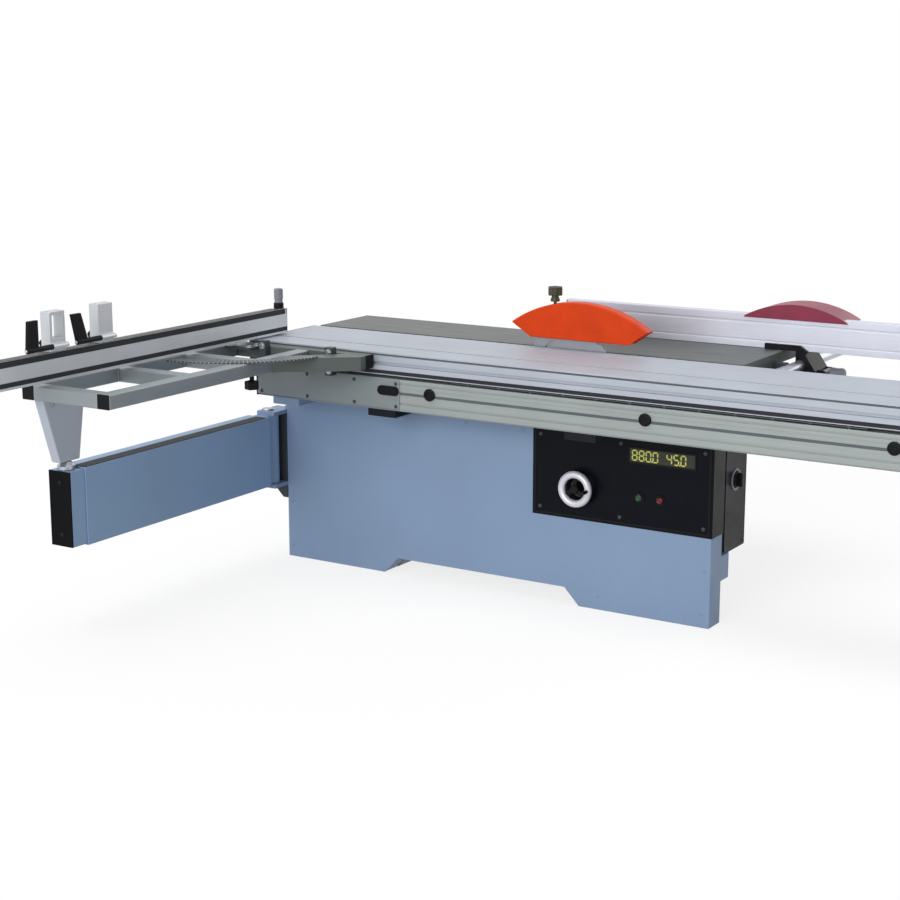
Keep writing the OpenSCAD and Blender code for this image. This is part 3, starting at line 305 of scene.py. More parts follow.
class Finish:
    def __init__(self, name, slot, metal=0.0, **sockets):
        self.material = bpy.data.materials.new(name)
        self.material.use_nodes = True
        self.tree = self.material.node_tree
        self.shader = self.tree.nodes["Principled BSDF"]
        self.shader.inputs["Metallic"].default_value = metal
        self.shader.inputs["Specular IOR Level"].default_value = 0.3
        for socket, value in sockets.items():
            self.shader.inputs[socket.replace("_", " ")].default_value = value
        self.place = self.add("ShaderNodeTexCoord").outputs["Object"]

    def add(self, kind, *links, **settings):
        return add_node(self.tree, kind, *links, **settings)

    def grain(self, scale, stretch=(1, 1, 1), detail=3.0):
        spread = self.add("ShaderNodeMapping", ("Vector", self.place), ("Scale", stretch))
        noise = self.add("ShaderNodeTexNoise", ("Vector", spread.outputs["Vector"]), ("Scale", scale),
                         ("Detail", detail))
        return noise.outputs["Fac"]

    def reach(self, value, low, high, start=0.3, end=0.7):
        spread = self.add("ShaderNodeMapRange", ("Value", value), ("From Min", start), ("From Max", end),
                          ("To Min", low), ("To Max", high))
        return spread.outputs["Result"]

    def sum(self, operation, one, two=0.0):
        return self.add("ShaderNodeMath", (0, one), (1, two), operation=operation).outputs[0]

    def blend(self, share, one, two):
        node = self.add("ShaderNodeMix", ("Factor", share), (6, one), (7, two), data_type="RGBA")
        return node.outputs[2]

    def clouded(self, colour, scale, dark, light):
        return self.blend(self.reach(self.grain(scale), 0.0, 1.0), tone(colour, dark), tone(colour, light))

    def parts(self, vector):
        return self.add("ShaderNodeSeparateXYZ", ("Vector", vector)).outputs

    def paint(self, colour):
        self.tree.links.new(colour, self.shader.inputs["Base Color"])

    def sheen(self, texture, rough, less=0.05, more=0.08):
        self.tree.links.new(self.reach(texture, rough - less, rough + more), self.shader.inputs["Roughness"])

    def dent(self, height, strength, depth):
        bump = self.add("ShaderNodeBump", ("Height", height), ("Strength", strength), ("Distance", depth))
        self.tree.links.new(bump.outputs["Normal"], self.shader.inputs["Normal"])

    def worn_edge(self, radius):
        soft = self.add("ShaderNodeBevel", ("Radius", radius), samples=4).outputs["Normal"]
        plain = self.add("ShaderNodeNewGeometry").outputs["Normal"]
        match = self.add("ShaderNodeVectorMath", (0, soft), (1, plain), operation="DOT_PRODUCT")
        edge = self.reach(match.outputs["Value"], 1.0, 0.0, 0.8, 0.97)
        return self.sum("MULTIPLY", edge, self.reach(self.grain(60, detail=4.0), 0.0, 1.0, 0.45, 0.65))

    def rule(self, step, share, least_wear, ground, mark):
        line = self.sum("LESS_THAN", self.sum("FRACT", step), share)
        wear = self.reach(self.grain(30, detail=4.0), least_wear, 1.0)
        self.paint(self.blend(self.sum("MULTIPLY", line, wear), tone(ground), tone(mark)))


def enamel(name, slot, colour, rough=0.42, peel=0.08, wear=0.35, darker_near_floor=0.0, **sockets):
    coat = Finish(name, slot, **sockets)
    base = coat.clouded(colour, 2.4, 0.95, 1.04)
    # The paint goes darker towards the floor, in patches
    if darker_near_floor:
        low = coat.reach(coat.parts(coat.place)["Z"], darker_near_floor, 0.0, 0.0, 0.3)
        patchy = coat.sum("MULTIPLY", low, coat.reach(coat.grain(9, detail=6.0), 0.3, 1.0))
        base = coat.blend(patchy, base, tone(colour, 0.7))
    edge = coat.sum("MULTIPLY", coat.worn_edge(0.004), wear)
    coat.paint(coat.blend(edge, base, tone(colour, 1.5)))
    coat.sheen(coat.grain(14), rough)
    coat.dent(coat.grain(420, detail=2.0), peel, 0.0008)
    return coat.material


def brushed(name, slot, colour, stretch, rough, metal, lines=420, depth=0.1):
    bar = Finish(name, slot, metal)
    streak = bar.grain(lines, stretch, 2.0)
    base = bar.clouded(colour, 5, 0.95, 1.04)
    bar.paint(bar.blend(bar.reach(streak, 0.0, 0.3), base, tone(colour, 0.82)))
    bar.sheen(streak, rough, 0.06, 0.1)
    bar.dent(streak, depth, 0.0003)
    return bar.material


def cast(name, slot, colour, rough=0.45, metal=0.55):
    iron = Finish(name, slot, metal)
    spots = iron.grain(160, detail=5.0)
    cloud = iron.grain(4, detail=4.0)
    base = iron.blend(iron.reach(cloud, 0.0, 1.0), tone(colour, 0.86), tone(colour, 1.12))
    iron.paint(iron.blend(iron.reach(spots, 0.0, 0.25, 0.5, 0.7), base, tone(colour, 0.6)))
    iron.sheen(cloud, rough, 0.08, 0.1)
    iron.dent(spots, 0.12, 0.0006)
    return iron.material


def moulded(name, slot, colour, rough=0.45, texture=260, depth=0.1, **sockets):
    resin = Finish(name, slot, **sockets)
    surface = resin.grain(texture, detail=2.0)
    resin.paint(resin.clouded(colour, 12, 0.92, 1.08))
    resin.sheen(surface, rough)
    resin.dent(surface, depth, 0.0005)
    return resin.material


def ruled(name, slot, ground, mark, pitch=0.01, share=0.14):
    scale = Finish(name, slot)
    scale.rule(scale.sum("DIVIDE", scale.parts(scale.place)["Y"], pitch), share, 0.7, ground, mark)
    scale.sheen(scale.grain(50), 0.45)
    return scale.material


def dialled(name, ground, mark, centre, axes, count, metal, share=0.12):
    dial = Finish(name, "aluminium", metal)
    shifted = dial.add("ShaderNodeMapping", ("Vector", dial.place), ("Location", [-c * MM for c in centre]))
    parts = dial.parts(shifted.outputs["Vector"])
    angle = dial.sum("ARCTAN2", parts[axes[0]], parts[axes[1]])
    dial.rule(dial.sum("MULTIPLY", angle, count / (2 * math.pi)), share, 0.75, ground, mark)
    dial.sheen(dial.grain(60), 0.4, 0.05, 0.1)
    return dial.material


ALL_WAYS, ALONG_X, ALONG_Y, UPRIGHT = (1, 1, 1), (0.01, 1, 1), (1, 0.01, 1), (0.4, 0.4, 1)
cabinet_enamel = enamel("cabinet_enamel", "cabinet_paint", (134, 156, 186), darker_near_floor=0.2)
# The arm's paint is a lighter copy of the cabinet's, painting light onto the arm's shaded sides
arm_enamel = enamel("arm_enamel", "cabinet_paint", (146, 174, 208))
panel_enamel = enamel("panel_enamel", "panel_black", (9, 11, 19), 0.3, 0.05, 0.2, Specular_IOR_Level=0.09)
dark_enamel = enamel("dark_enamel", "dark_paint", (58, 64, 70))
bracket_enamel = enamel("bracket_enamel", "dark_paint", (22, 25, 31), Specular_IOR_Level=0.15)
# Paint for the plate on the rail's left end, dark as painted shade
shade_plate_enamel = enamel("shade_plate_enamel", "dark_paint", (130, 138, 140))
beam_enamel = enamel("beam_enamel", "dark_paint", (84, 92, 90), 0.4)
post_enamel = enamel("post_enamel", "post_grey", (186, 194, 206), 0.4)
table_aluminium = brushed("table_aluminium", "aluminium", (176, 182, 192), ALONG_X, 0.5, 0.4)
rail_aluminium = brushed("rail_aluminium", "aluminium", (156, 163, 162), ALONG_X, 0.42, 0.45)
fence_aluminium = brushed("fence_aluminium", "aluminium", (204, 208, 212), ALONG_Y, 0.38, 0.6)
# The tubes' aluminium is darker than the fence's, partly as painted shade on their sides
tube_aluminium_with_shade = brushed("tube_aluminium_with_shade", "aluminium", (146, 154, 158), (1, 0.02, 1), 0.4, 0.6)
rip_aluminium = brushed("rip_aluminium", "aluminium", (210, 212, 224), ALONG_X, 0.42, 0.4)
wheel_aluminium = brushed("wheel_aluminium", "aluminium", (216, 213, 222), ALL_WAYS, 0.4, 0.35, 90)
ground_iron = brushed("ground_iron", "cast_iron", (90, 95, 93), (0.02, 1, 1), 0.42, 0.5, 260)
rough_iron = cast("rough_iron", "cast_iron", (92, 98, 96))
bright_steel = brushed("bright_steel", "bright_steel", (176, 180, 186), UPRIGHT, 0.3, 0.9, 150, 0.05)
# The rollers take a darkened copy of bright steel, painted shade for the gap under the table
roller_steel = brushed("roller_steel", "bright_steel", (88, 92, 96), (1, 0.4, 1), 0.35, 0.8, 150, 0.05)
blade_steel = brushed("blade_steel", "bright_steel", (150, 154, 160), ALL_WAYS, 0.42, 0.8, 60, 0.02)
guard_orange = moulded("guard_orange", "guard_orange", (206, 62, 14), 0.4, 190, 0.06,
                       Specular_IOR_Level=0.15)
cover_maroon = moulded("cover_maroon", "cover_maroon", (132, 46, 68), 0.4, 220, 0.08)
black_resin = moulded("black_resin", "black_plastic", (12, 13, 18), Specular_IOR_Level=0.14)
cap_resin = moulded("cap_resin", "black_plastic", (4, 5, 9), 0.5, Specular_IOR_Level=0.08)
olive_resin = moulded("olive_resin", "dark_paint", (66, 64, 48))
grey_resin = moulded("grey_resin", "post_grey", (126, 128, 136), 0.4)
# Dark grey for strips laid in grooves as painted shade
groove_shade_resin = moulded("groove_shade_resin", "black_plastic", (92, 98, 104), 0.55, 300, 0.15)
# Dark strips: rubber on the arm's top and the fence face, and painted shade at the table's foot and in the
# fence's slot
strip_rubber_and_shade = moulded("strip_rubber_and_shade", "black_plastic", (34, 36, 42), 0.62, 320, 0.3)
belt_rubber = moulded("belt_rubber", "belt_rubber", (34, 34, 36), 0.6, 300, 0.25)
weld_steel = moulded("weld_steel", "aluminium", (120, 124, 124), 0.45, 600, 0.6, Metallic=0.6)
window_glass = moulded("window_glass", "readout_glass", (40, 42, 26), 0.12, 60, 0.01,
                       Specular_IOR_Level=0.4)
digit_glow = moulded("digit_glow", "readout_glass", (170, 172, 84), 0.3, 60, 0.01,
                     Emission_Color=tone((170, 172, 84)), Emission_Strength=0.35)
fence_scale = ruled("fence_scale", "black_plastic", (24, 26, 30), (200, 202, 198))
rip_scale = ruled("rip_scale", "aluminium", (60, 62, 66), (206, 208, 204))
start_resin = moulded("start_resin", "black_plastic", (34, 72, 50), 0.35)
stop_resin = moulded("stop_resin", "black_plastic", (98, 24, 24), 0.35)


# Fasteners and vents, each modelled once facing up and set out in copies

FACING = {"up": None, "down": (2, 0, 0), "front": (1, 0, 0), "back": (-1, 0, 0), "right": (0, 1, 0),
          "left": (0, -1, 0)}


def set_out(name, model, facing, places, body, finish=bright_steel, slot=None):
    copies = [copy_of(model, place, FACING[facing]) for place in places]
    fit(join(name, *copies), body, finish, slot=slot)


screw = turn("screw", [(0, -2), (7, -2), (7, 0.8), (5.5, 1.9), (3, 2.2), (0, 2.2)], HERE, "z", 20)
carve(screw, block("slot", (-4.5, -0.7, 1), (4.5, 0.7, 3)), block("slot", (-0.7, -4.5, 1), (0.7, 4.5, 3)))
bolt = turn("bolt", [(0, -2), (9, -2), (9, 5), (7.4, 6.2), (0, 6.2)], HERE, "z", 6)
washer = turn("washer", [(0, -2), (12.5, -2), (12.5, 0.8), (11.8, 1.4), (0, 1.4)], HERE, "z", 32)
bolt = join("bolt", bolt, washer)
rivet = turn("rivet", [(0, -1), (5, -1), (4.8, 0.8), (3, 1.8), (0, 2.1)], HERE, "z", 20)
bead = round_edges(extrude("bead", "z", 0, 46, [(0, 0), (6, 0), (4.2, 4.2), (0, 6)]), 1.4)


def louvre(name, length):
    outline = [(12, -1), (1, 6.5), (-2, 6.5), (-2, -1)]
    return round_edges(extrude(name, "x", -length / 2, length / 2, outline), 1.8, 3)


door_louvre = louvre("door_louvre", 190)
side_louvre = louvre("side_louvre", 140)


def lobed(name, centre, radius, low, high, lobes):
    spots = []
    for n in range(lobes * 8):
        a = 2 * math.pi * n / (lobes * 8)
        r = radius * (0.91 + 0.09 * math.cos(lobes * a))
        spots.append((centre[0] + r * math.cos(a), centre[1] + r * math.sin(a)))
    knob = dish(extrude(name, "z", low, high, spots), "+z", radius * 0.45, 0.12 * (high - low))
    return round_edges(knob, radius * 0.13, 3)


# Cabinet and apron

SHEET = 4
apron_low, apron_high, _ = box_of("front_apron")
apron_x0, apron_x1 = apron_low[0], apron_high[0]
front, seat_y = apron_low[1], apron_high[1]
skin("front_apron", "base", cabinet_enamel, 3.5, 3)
skin("main_cabinet", "base", cabinet_enamel, 2.5)
apron_spots = [(x, front, 612) for x in (-860, -600, -340, -80, 160)]
apron_spots += [(-868, front, z) for z in (420, 220, 50)]
apron_spots += [(-500, front, 50), (460, front, 50), (860, front, 50), (868, front, 200)]
set_out("apron_screws", screw, "front", apron_spots, "base", cabinet_enamel)

# The apron's floor, a folded strip that follows the toe gap

toe_x0, toe_x1, toe_run, toe_top = apron_x0 + 450, apron_x0 + 1280, 59, 63
under = [(apron_x0 + SHEET, 1), (toe_x0 - 1, 1), (toe_x0 + toe_run, toe_top)]
over = [(toe_x0 + toe_run - 1.2, toe_top + 3), (toe_x0 - 2.2, 4), (apron_x0 + SHEET, 4)]
floor_edge = under + [(toe_x0 + toe_x1 - x, z) for x, z in reversed(under[1:])]
floor_edge += [(apron_x1 - SHEET, 1), (apron_x1 - SHEET, 4)]
floor_edge += [(toe_x0 + toe_x1 - x, z) for x, z in reversed(over[:2])] + over
fit(extrude("apron_floor", "y", front + SHEET, seat_y, floor_edge), "base", cabinet_enamel)

cab_low, cab_high, _ = box_of("main_cabinet")
vent = copy_of(side_louvre, HERE, (1, 0, 0))
vents = [copy_of(vent, (cab_low[0], 60, 300 + 34 * n), (0, 0, -1)) for n in range(7)]
fit(join("cabinet_vents", *vents), "base", cabinet_enamel)
back_spots = grid((-840, 590), (cab_high[1],), (60, 300, 540, 780))
back_spots += grid((-480, -120, 240), (cab_high[1],), (780,))
set_out("cabinet_back_screws", screw, "back", back_spots, "base", cabinet_enamel)

# Control panel, its wrap round the corner and the gear box

box_low, box_high, _ = box_of("control_box")
panel_x0, panel_x1 = box_low[0], box_high[0]
panel_y = box_low[1]
panel_z0, panel_z1 = 318, box_high[2]
wrap_y = seat_y + panel_x1 - apron_x1
panel = extrude("control_panel", "z", panel_z0, panel_z1, [
    (panel_x0, front), (panel_x0, panel_y), (panel_x1, panel_y), (panel_x1, wrap_y), (apron_x1, wrap_y),
    (apron_x1, front)])
choose_edges(panel, lambda spot: spot.x > panel_x1 - 0.1 and spot.y < panel_y + 0.1)
bpy.ops.mesh.bevel(offset=2.8 * MM, segments=4, affect="EDGES")
close_mesh()
hub_x, _, hub_z = box_of("lift_handwheel")[2]
holes = [(hub_x, hub_z, 8.6)]
for node in ("start_button", "stop_button"):
    low, high, mid = box_of(node)
    holes.append((mid[0], mid[2], (high[0] - low[0]) / 2 + 0.4))
carve(panel, *[rod("hole", r, panel_y - 10, front + 10, (x, 0, z), "y") for x, z, r in holes])
fit(round_edges(panel, 0.6), "base", panel_enamel, "control_box")
rim = window_frame("panel_rim", (panel_x0 + 6, panel_y - 1.6, panel_z0 + 6),
                   (panel_x1 - 8, panel_y + 1, panel_z1 - 6), 8)
fit(round_edges(rim, 0.6), "base", black_resin, slot="panel_black")
panel_spots = grid((panel_x0 + 30, 545, panel_x1 - 33), (panel_y,), (panel_z0 + 30, panel_z1 - 30))
set_out("panel_screws", screw, "front", panel_spots, "base", dark_enamel, "black_plastic")

gear_x0, gear_y1, gear_z0 = 620, box_high[1], box_low[2]
gear_box = soft_block("gear_box", (gear_x0, seat_y + 0.3, gear_z0), (apron_x1, gear_y1, panel_z1), 5)
fit(gear_box, "base", panel_enamel, "control_box")
lid = block("gear_box_lid", (apron_x1 - 1, seat_y + 12, gear_z0 + 10),
            (panel_x1, gear_y1 - 12, panel_z1 - 10))
fit(round_edges(dish(lid, "+x", 16, 1.2), 0.9), "base", panel_enamel)
lid_spots = grid((panel_x1,), (seat_y + 20, gear_y1 - 20), (gear_z0 + 18, panel_z1 - 18))
set_out("gear_box_screws", screw, "right", lid_spots, "base", dark_enamel, "black_plastic")

low, high, (_, iso_y, iso_z) = box_of("isolator_switch")
iso_r = (high[1] - low[1]) / 2
collar = turn("isolator_plate", [
    (iso_r + 2, -2), (iso_r + 11, -2), (iso_r + 11, 1), (iso_r + 10, 2), (iso_r + 3, 2), (iso_r + 2, 1),
    (iso_r + 2, -2)], (panel_x1, iso_y, iso_z), "x")
fit(collar, "base", grey_resin, slot="dark_paint")
face_x = high[0] - 24
stem_end = low[0] - face_x
disc = turn("isolator_disc", [
    (0, stem_end), (iso_r / 4, stem_end), (iso_r / 4, 0), (iso_r, 0), (iso_r, 5.5), (iso_r - 2.5, 8), (0, 8)],
    (face_x, iso_y, iso_z), "x")
ridge = soft_block("isolator_ridge", (face_x + 6, iso_y - 6, low[2] + 4),
                   (high[0], iso_y + 6, high[2] - 4), 3)
mark = soft_block("isolator_mark", (high[0] - 0.4, iso_y - 1.2, iso_z + 8),
                  (high[0], iso_y + 1.2, iso_z + 21), 0.1, 1)
fit(join("isolator_knob", disc, ridge), "isolator", black_resin, "isolator_switch")
fit(mark, "isolator", grey_resin, slot="black_plastic")

# Readout, buttons and their collars

BEZEL = 6
low, high, (_, _, middle_z) = box_of("readout_display")
glass_y = low[1] + 0.8
window = soft_block("readout_window", (low[0] + BEZEL, glass_y, low[2] + BEZEL),
                    (high[0] - BEZEL, high[1], high[2] - BEZEL), 0.6)
fit(window, "base", window_glass)
bezel = round_edges(window_frame("readout_bezel", low, high, BEZEL), 0.8)
fit(bezel, "base", black_resin, "readout_display", slot="panel_black")

SEGMENTS = {"0": "abcdef", "4": "bcfg", "5": "acdfg", "8": "abcdefg"}
BAR_PLACES = {"a": (0, 1), "b": (1, 0.5), "c": (1, -0.5), "d": (0, -1), "e": (-1, -0.5), "f": (-1, 0.5),
              "g": (0, 0)}
DIGIT_H, DIGIT_W, DIGIT_GAP, BAR = 34, 17, 9, 4.8
bar_y = glass_y + 0.1


def digit_bar(name, length, upright):
    half, tip = length / 2, BAR / 2
    outline = [(-half, 0), (tip - half, tip), (half - tip, tip), (half, 0), (half - tip, -tip),
               (tip - half, -tip)]
    return extrude(name, "y", 0, -0.4, [(b, a) if upright else (a, b) for a, b in outline])


flat_bar = digit_bar("flat_bar", DIGIT_W - BAR * 0.4, False)
upright_bar = digit_bar("upright_bar", DIGIT_H / 2 - BAR * 0.4, True)


def number(text, x):
    bars = []
    for sign in text:
        if sign == ".":
            dot_z = middle_z - DIGIT_H / 2
            bars.append(soft_block("dot", (x - 6.5, bar_y - 0.5, dot_z - 2.5),
                                   (x - 1.5, bar_y, dot_z + 2.5), 0.2, 1))
            continue
        for key in SEGMENTS[sign]:
            side, rise = BAR_PLACES[key]
            bar = flat_bar if key in "adg" else upright_bar
            spot = (x + DIGIT_W / 2 + side * DIGIT_W / 2, bar_y, middle_z + rise * DIGIT_H / 2)
            bars.append(copy_of(bar, spot))
        x += DIGIT_W + DIGIT_GAP
    return bars


digit_bars = number("880.0", low[0] + 16) + number("45.0", low[0] + 146)
fit(join("readout_digits", *digit_bars), "base", digit_glow)

for node, body, finish in (("start_button", "start", start_resin), ("stop_button", "stop", stop_resin)):
    low, high, (x, _, z) = box_of(node)
    r, depth = (high[0] - low[0]) / 2, high[1] - low[1]
    cap = turn(node + "_cap", [(0, depth), (r, depth), (r, 3), (r * 0.88, 0.8), (r * 0.7, 0), (r * 0.6, 0.8),
                               (0, 1.2)], (x, low[1], z), "y")
    fit(cap, body, finish, node)
    collar = turn(node + "_collar", [
        (r + 1, 1), (r + 7, 1), (r + 7, -2), (r + 5, -4), (r + 1, -4), (r + 1, 1)], (x, panel_y, z), "y")
    fit(collar, "base", black_resin)

# Handwheels, where the tilt wheel is the lift wheel again on the cabinet's end

RIM_R, RIM_TUBE_R = 52, 13
rim_y = panel_y - 36
hub_spot, rim_spot = (hub_x, panel_y, hub_z), (hub_x, rim_y, hub_z)
rim_angles = [math.radians(a) for a in range(0, 361, 20)]
rim_outline = [(RIM_R + RIM_TUBE_R * math.cos(a), RIM_TUBE_R * math.sin(a)) for a in rim_angles]
wheel_rim = turn("lift_wheel_rim", rim_outline, rim_spot, "y", 72)
hub = turn("lift_wheel_hub", [
    (0, 24), (8, 24), (8, -0.3), (18, -0.3), (18, -4), (16.5, -20), (17, -40), (14.5, -44), (6, -43.5),
    (0, -42)], hub_spot, "y")
spoke = draw_solid("spoke", [
    (hub_x - 8.5, rim_y - 4, hub_z + 12), (hub_x - 5.5, rim_y - 3, hub_z + RIM_R),
    (hub_x + 5.5, rim_y - 3, hub_z + RIM_R), (hub_x + 8.5, rim_y - 4, hub_z + 12)], (0, 7.5, 0))
wheel_hub = join("lift_wheel_hub", hub, *around(round_edges(spoke, 2), 3, rim_spot, "y"))
wheel_grip = turn("lift_wheel_grip", [
    (0, 0), (5.2, 0), (6, -14), (6.8, -24), (7, -34), (5.8, -41), (3, -43.8), (0, -44)],
    (hub_x + RIM_R, rim_y, hub_z), "y", 32)
dial = turn("lift_dial_ring", [
    (22, 0.5), (34, 0.5), (34, -1.2), (33, -2), (23, -2), (22, -1.2), (22, 0.5)], hub_spot, "y", 64)
low, high, (_, tilt_y, tilt_z) = box_of("tilt_handwheel")
end_x = low[0] + 24
wheel_shift = (end_x + panel_y, tilt_y - hub_x, tilt_z - hub_z)
for part, finish in ((wheel_rim, wheel_aluminium), (wheel_hub, black_resin), (wheel_grip, black_resin)):
    twin = copy_of(part, wheel_shift, (0, 0, 1))
    twin.name = part.name.replace("lift", "tilt").split(".")[0]
    fit(twin, "tilt_wheel", finish, "tilt_handwheel", slot="aluminium")
    fit(part, "lift_wheel", finish, "lift_handwheel", slot="aluminium")
tilt_dial = copy_of(dial, wheel_shift, (0, 0, 1))
tilt_dial.name = "tilt_dial_ring"
for ring, name, centre, axes in ((tilt_dial, "tilt_face", (0, tilt_y, tilt_z), "ZY"),
                                 (dial, "dial_face", (hub_x, 0, hub_z), "ZX")):
    fit(ring, "base", dialled(name, (34, 36, 44), (176, 178, 184), centre, axes, 40, 0.2))

# Slide rail, rollers and sliding table

CAP_DISH = 2.6
RAIL_BAND, RAIL_GROOVE = (716, 758), (732.5, 742.5)
# The first band carries a dark strip painted as the shade above the gap under the table
SHADE_STRIP_SEAT, TABLE_GROOVE = (803, 816.5), (868, 874.5)


# Lays a dark strip at the back of a groove, as painted shade
def shade_inlay(name, low, high, band, depth, body, finish):
    strip = soft_block(name, (low[0] + 1, low[1] + depth - 1.8, band[0] + 0.2),
                       (high[0] - 1, low[1] + depth + 0.1, band[1] - 0.2), 0.6)
    fit(strip, body, finish)


def end_caps(name, body, margin, spots):
    node = name + "_end_caps"
    low, high, _ = box_of(node)
    caps = copy_node(node)
    press(caps, lambda c, n: c.x > high[0] - 0.1, margin, (-CAP_DISH, 0, 0))
    press(caps, lambda c, n: c.x < low[0] + 0.1, margin, (CAP_DISH, 0, 0))
    fit(round_edges(caps, 1), body, black_resin, node)
    for side, x in (("left", low[0] + CAP_DISH), ("right", high[0] - CAP_DISH)):
        set_out("%s_%s_screws" % (name, side), screw, side, [(x, y, z) for y, z in spots], body)


rail_low, rail_high, _ = box_of("slide_rail")
rail_y, rail_z = rail_low[1], rail_low[2]
rail = groove(copy_node("slide_rail"), rail_low, rail_high, RAIL_BAND, 1.2)
groove(rail, rail_low, rail_high, RAIL_GROOVE, 4)
fit(round_edges(rail, 0.5), "base", rail_aluminium, "slide_rail")
# Painted shade in the rail's groove
shade_inlay("rail_seam", rail_low, rail_high, RAIL_GROOVE, 4, "base", groove_shade_resin)
# A plate over the rail's left end, whose dark paint is painted shade for that end of the rail
shade_plate = extrude("rail_cover", "x", -868, -235, [
    (rail_y + 0.6, 786), (rail_y - 2, 786), (rail_y - 2, rail_z + 8), (rail_y + 3, rail_z + 3),
    (rail_y + 4.5, rail_z + 4.5), (rail_y + 0.6, rail_z + 8.4)])
fit(round_edges(shade_plate, 0.6), "base", shade_plate_enamel)
shade_plate_spots = grid((-850, -640, -430, -250), (rail_y - 2,), (690, 772))
set_out("rail_cover_screws", screw, "front", shade_plate_spots, "base", dark_enamel)
end_caps("rail", "base", 5, [(y, z) for y in (rail_y + 18, rail_high[1] - 18) for z in (rail_z + 20, 768)])

# The bracket at the near end has the cabinet's colour, and the others are dark

END_BRACKET = -550
for name, finish in (("end_bracket", cabinet_enamel), ("middle_brackets", bracket_enamel)):
    bracket = copy_node("rail_brackets")
    choose_faces(bracket, lambda c, n: (c.x > END_BRACKET) == (name == "end_bracket"))
    bpy.ops.mesh.delete(type="FACE")
    close_mesh()
    bracket.name = "rail_" + name
    fit(round_edges(bracket, 3), "base", finish, "rail_brackets")
low, high, (_, _, plug_z) = box_of("rail_plugs")
plug_r, plug_pitch = (high[2] - low[2]) / 2, 838
plug = turn("plug", [
    (0, 0.4), (plug_r, 0.4), (plug_r, -5), (plug_r * 0.9, -7.2), (plug_r * 0.62, -8), (plug_r * 0.56, -6.2),
    (0, -5.8)], HERE, "y", 40)
plugs = [copy_of(plug, (high[0] - plug_r - plug_pitch * n, rail_y, plug_z)) for n in range(3)]
oval_r = 17
oval_x = low[0] + oval_r
oval = draw_solid("oval", ring_points((oval_x, rail_y, plug_z), oval_r, "y", 13, 90, 180)
                  + ring_points((oval_x + 56, rail_y, plug_z), oval_r, "y", 13, 270, 180), (0, -8, 0))
round_edges(dish(oval, "-y", 5, 1.5), 1.4)
fit(join("rail_plug_covers", *plugs, oval), "base", black_resin, "rail_plugs")
# Rollers in the darkened steel, as painted shade
fit(copy_node("roller_cage"), "cage", roller_steel, "roller_cage")

table_low, table_high, _ = box_of("sliding_table")
table_top = table_high[2]
table = groove(copy_node("sliding_table"), table_low, table_high, SHADE_STRIP_SEAT, 3)
groove(table, table_low, table_high, TABLE_GROOVE, 4)
for n in range(9):
    y = -390 + 26 * n
    carve(table, block("rib", (table_low[0] - 10, y, table_top - 0.9),
                       (table_high[0] + 10, y + 3, table_top + 20)))
fit(round_edges(table, 0.3, 1), "carriage", table_aluminium, "sliding_table")
# A dark strip at the table's foot, painted shade of the gap below it
shade_inlay("table_shade_strip", table_low, table_high, SHADE_STRIP_SEAT, 3, "carriage", strip_rubber_and_shade)
# Painted shade in the table's front groove
shade_inlay("table_groove_shade", table_low, table_high, TABLE_GROOVE, 4, "carriage", groove_shade_resin)
end_caps("slide", "carriage", 4, [(-530, 840), (-360, 840), (-220, 840)])

# Saw tables and rip fence

skin("saw_table", "base", ground_iron, 1.6)
skin("extension_table", "base", ground_iron, 1.5)
skin("extension_braces", "base", dark_enamel, 2)
_, high, _ = box_of("extension_table")
ruler = soft_block("rip_ruler", (high[0] - 22, -112, table_top - 0.5),
                   (high[0] - 4, high[1] - 8, table_top + 0.4), 0.2, 1)
fit(ruler, "base", rip_scale)
low, high, (bar_x, _, bar_z) = box_of("guide_bar")
r, end = (high[0] - low[0]) / 2, high[1] - low[1]
bar = turn("guide_bar_round", [
    (0, 1), (8, 1), (9, 0), (r - 3, 0), (r, 3), (r, end - 3), (r - 3, end), (9, end), (8, end - 1),
    (0, end - 1)], (bar_x, low[1], bar_z), "y", 56)
fit(bar, "base", bright_steel, "guide_bar")
skin("bar_brackets", "base", dark_enamel, 1.5)
skin("fence_head", "rip_head", black_resin, 4, 3)
skin("fence_head_cover", "rip_head", cover_maroon, 3, 3, 40)
low, high, (_, lever_y, lever_z) = box_of("fence_lever")
lever_x = low[0] + 13
barrel = sleeve("lever_barrel", 6.1, 13, 1, high[1] - low[1], (lever_x, low[1], lever_z), "y", 48)
r, grip_l = (high[2] - low[2]) / 2, 56
grip_x = high[0] - grip_l
neck = lever_x + 6.5 - grip_x
grip = turn("lever_grip", [
    (0, neck), (7, neck), (7, 0), (r * 0.72, 0), (r * 0.95, 4), (r, 12), (r * 0.94, 22), (r * 0.94, 30),
    (r, 40), (r * 0.96, grip_l - 6), (r * 0.7, grip_l - 1), (0, grip_l)], (grip_x, lever_y, lever_z), "x")
fit(join("fence_lever_grip", barrel, grip), "rip_lever", grey_resin, "fence_lever")
low, high, _ = box_of("rip_profile")
profile = groove(copy_node("rip_profile"), low, high, (low[2] + 22, low[2] + 28), 2)
fit(round_edges(profile, 1.2), "rip_rail", rip_aluminium, "rip_profile")
cap = soft_block("rip_cap", (high[0] - 1, low[1] + 0.5, low[2] + 0.5),
                 (high[0] + 4, high[1] - 0.5, high[2] - 0.5), 1.6)
near_cap = copy_of(cap, (low[0] - high[0] - 3, 0, 0))
fit(join("rip_end_caps", cap, near_cap), "rip_rail", black_resin)

# Saw unit

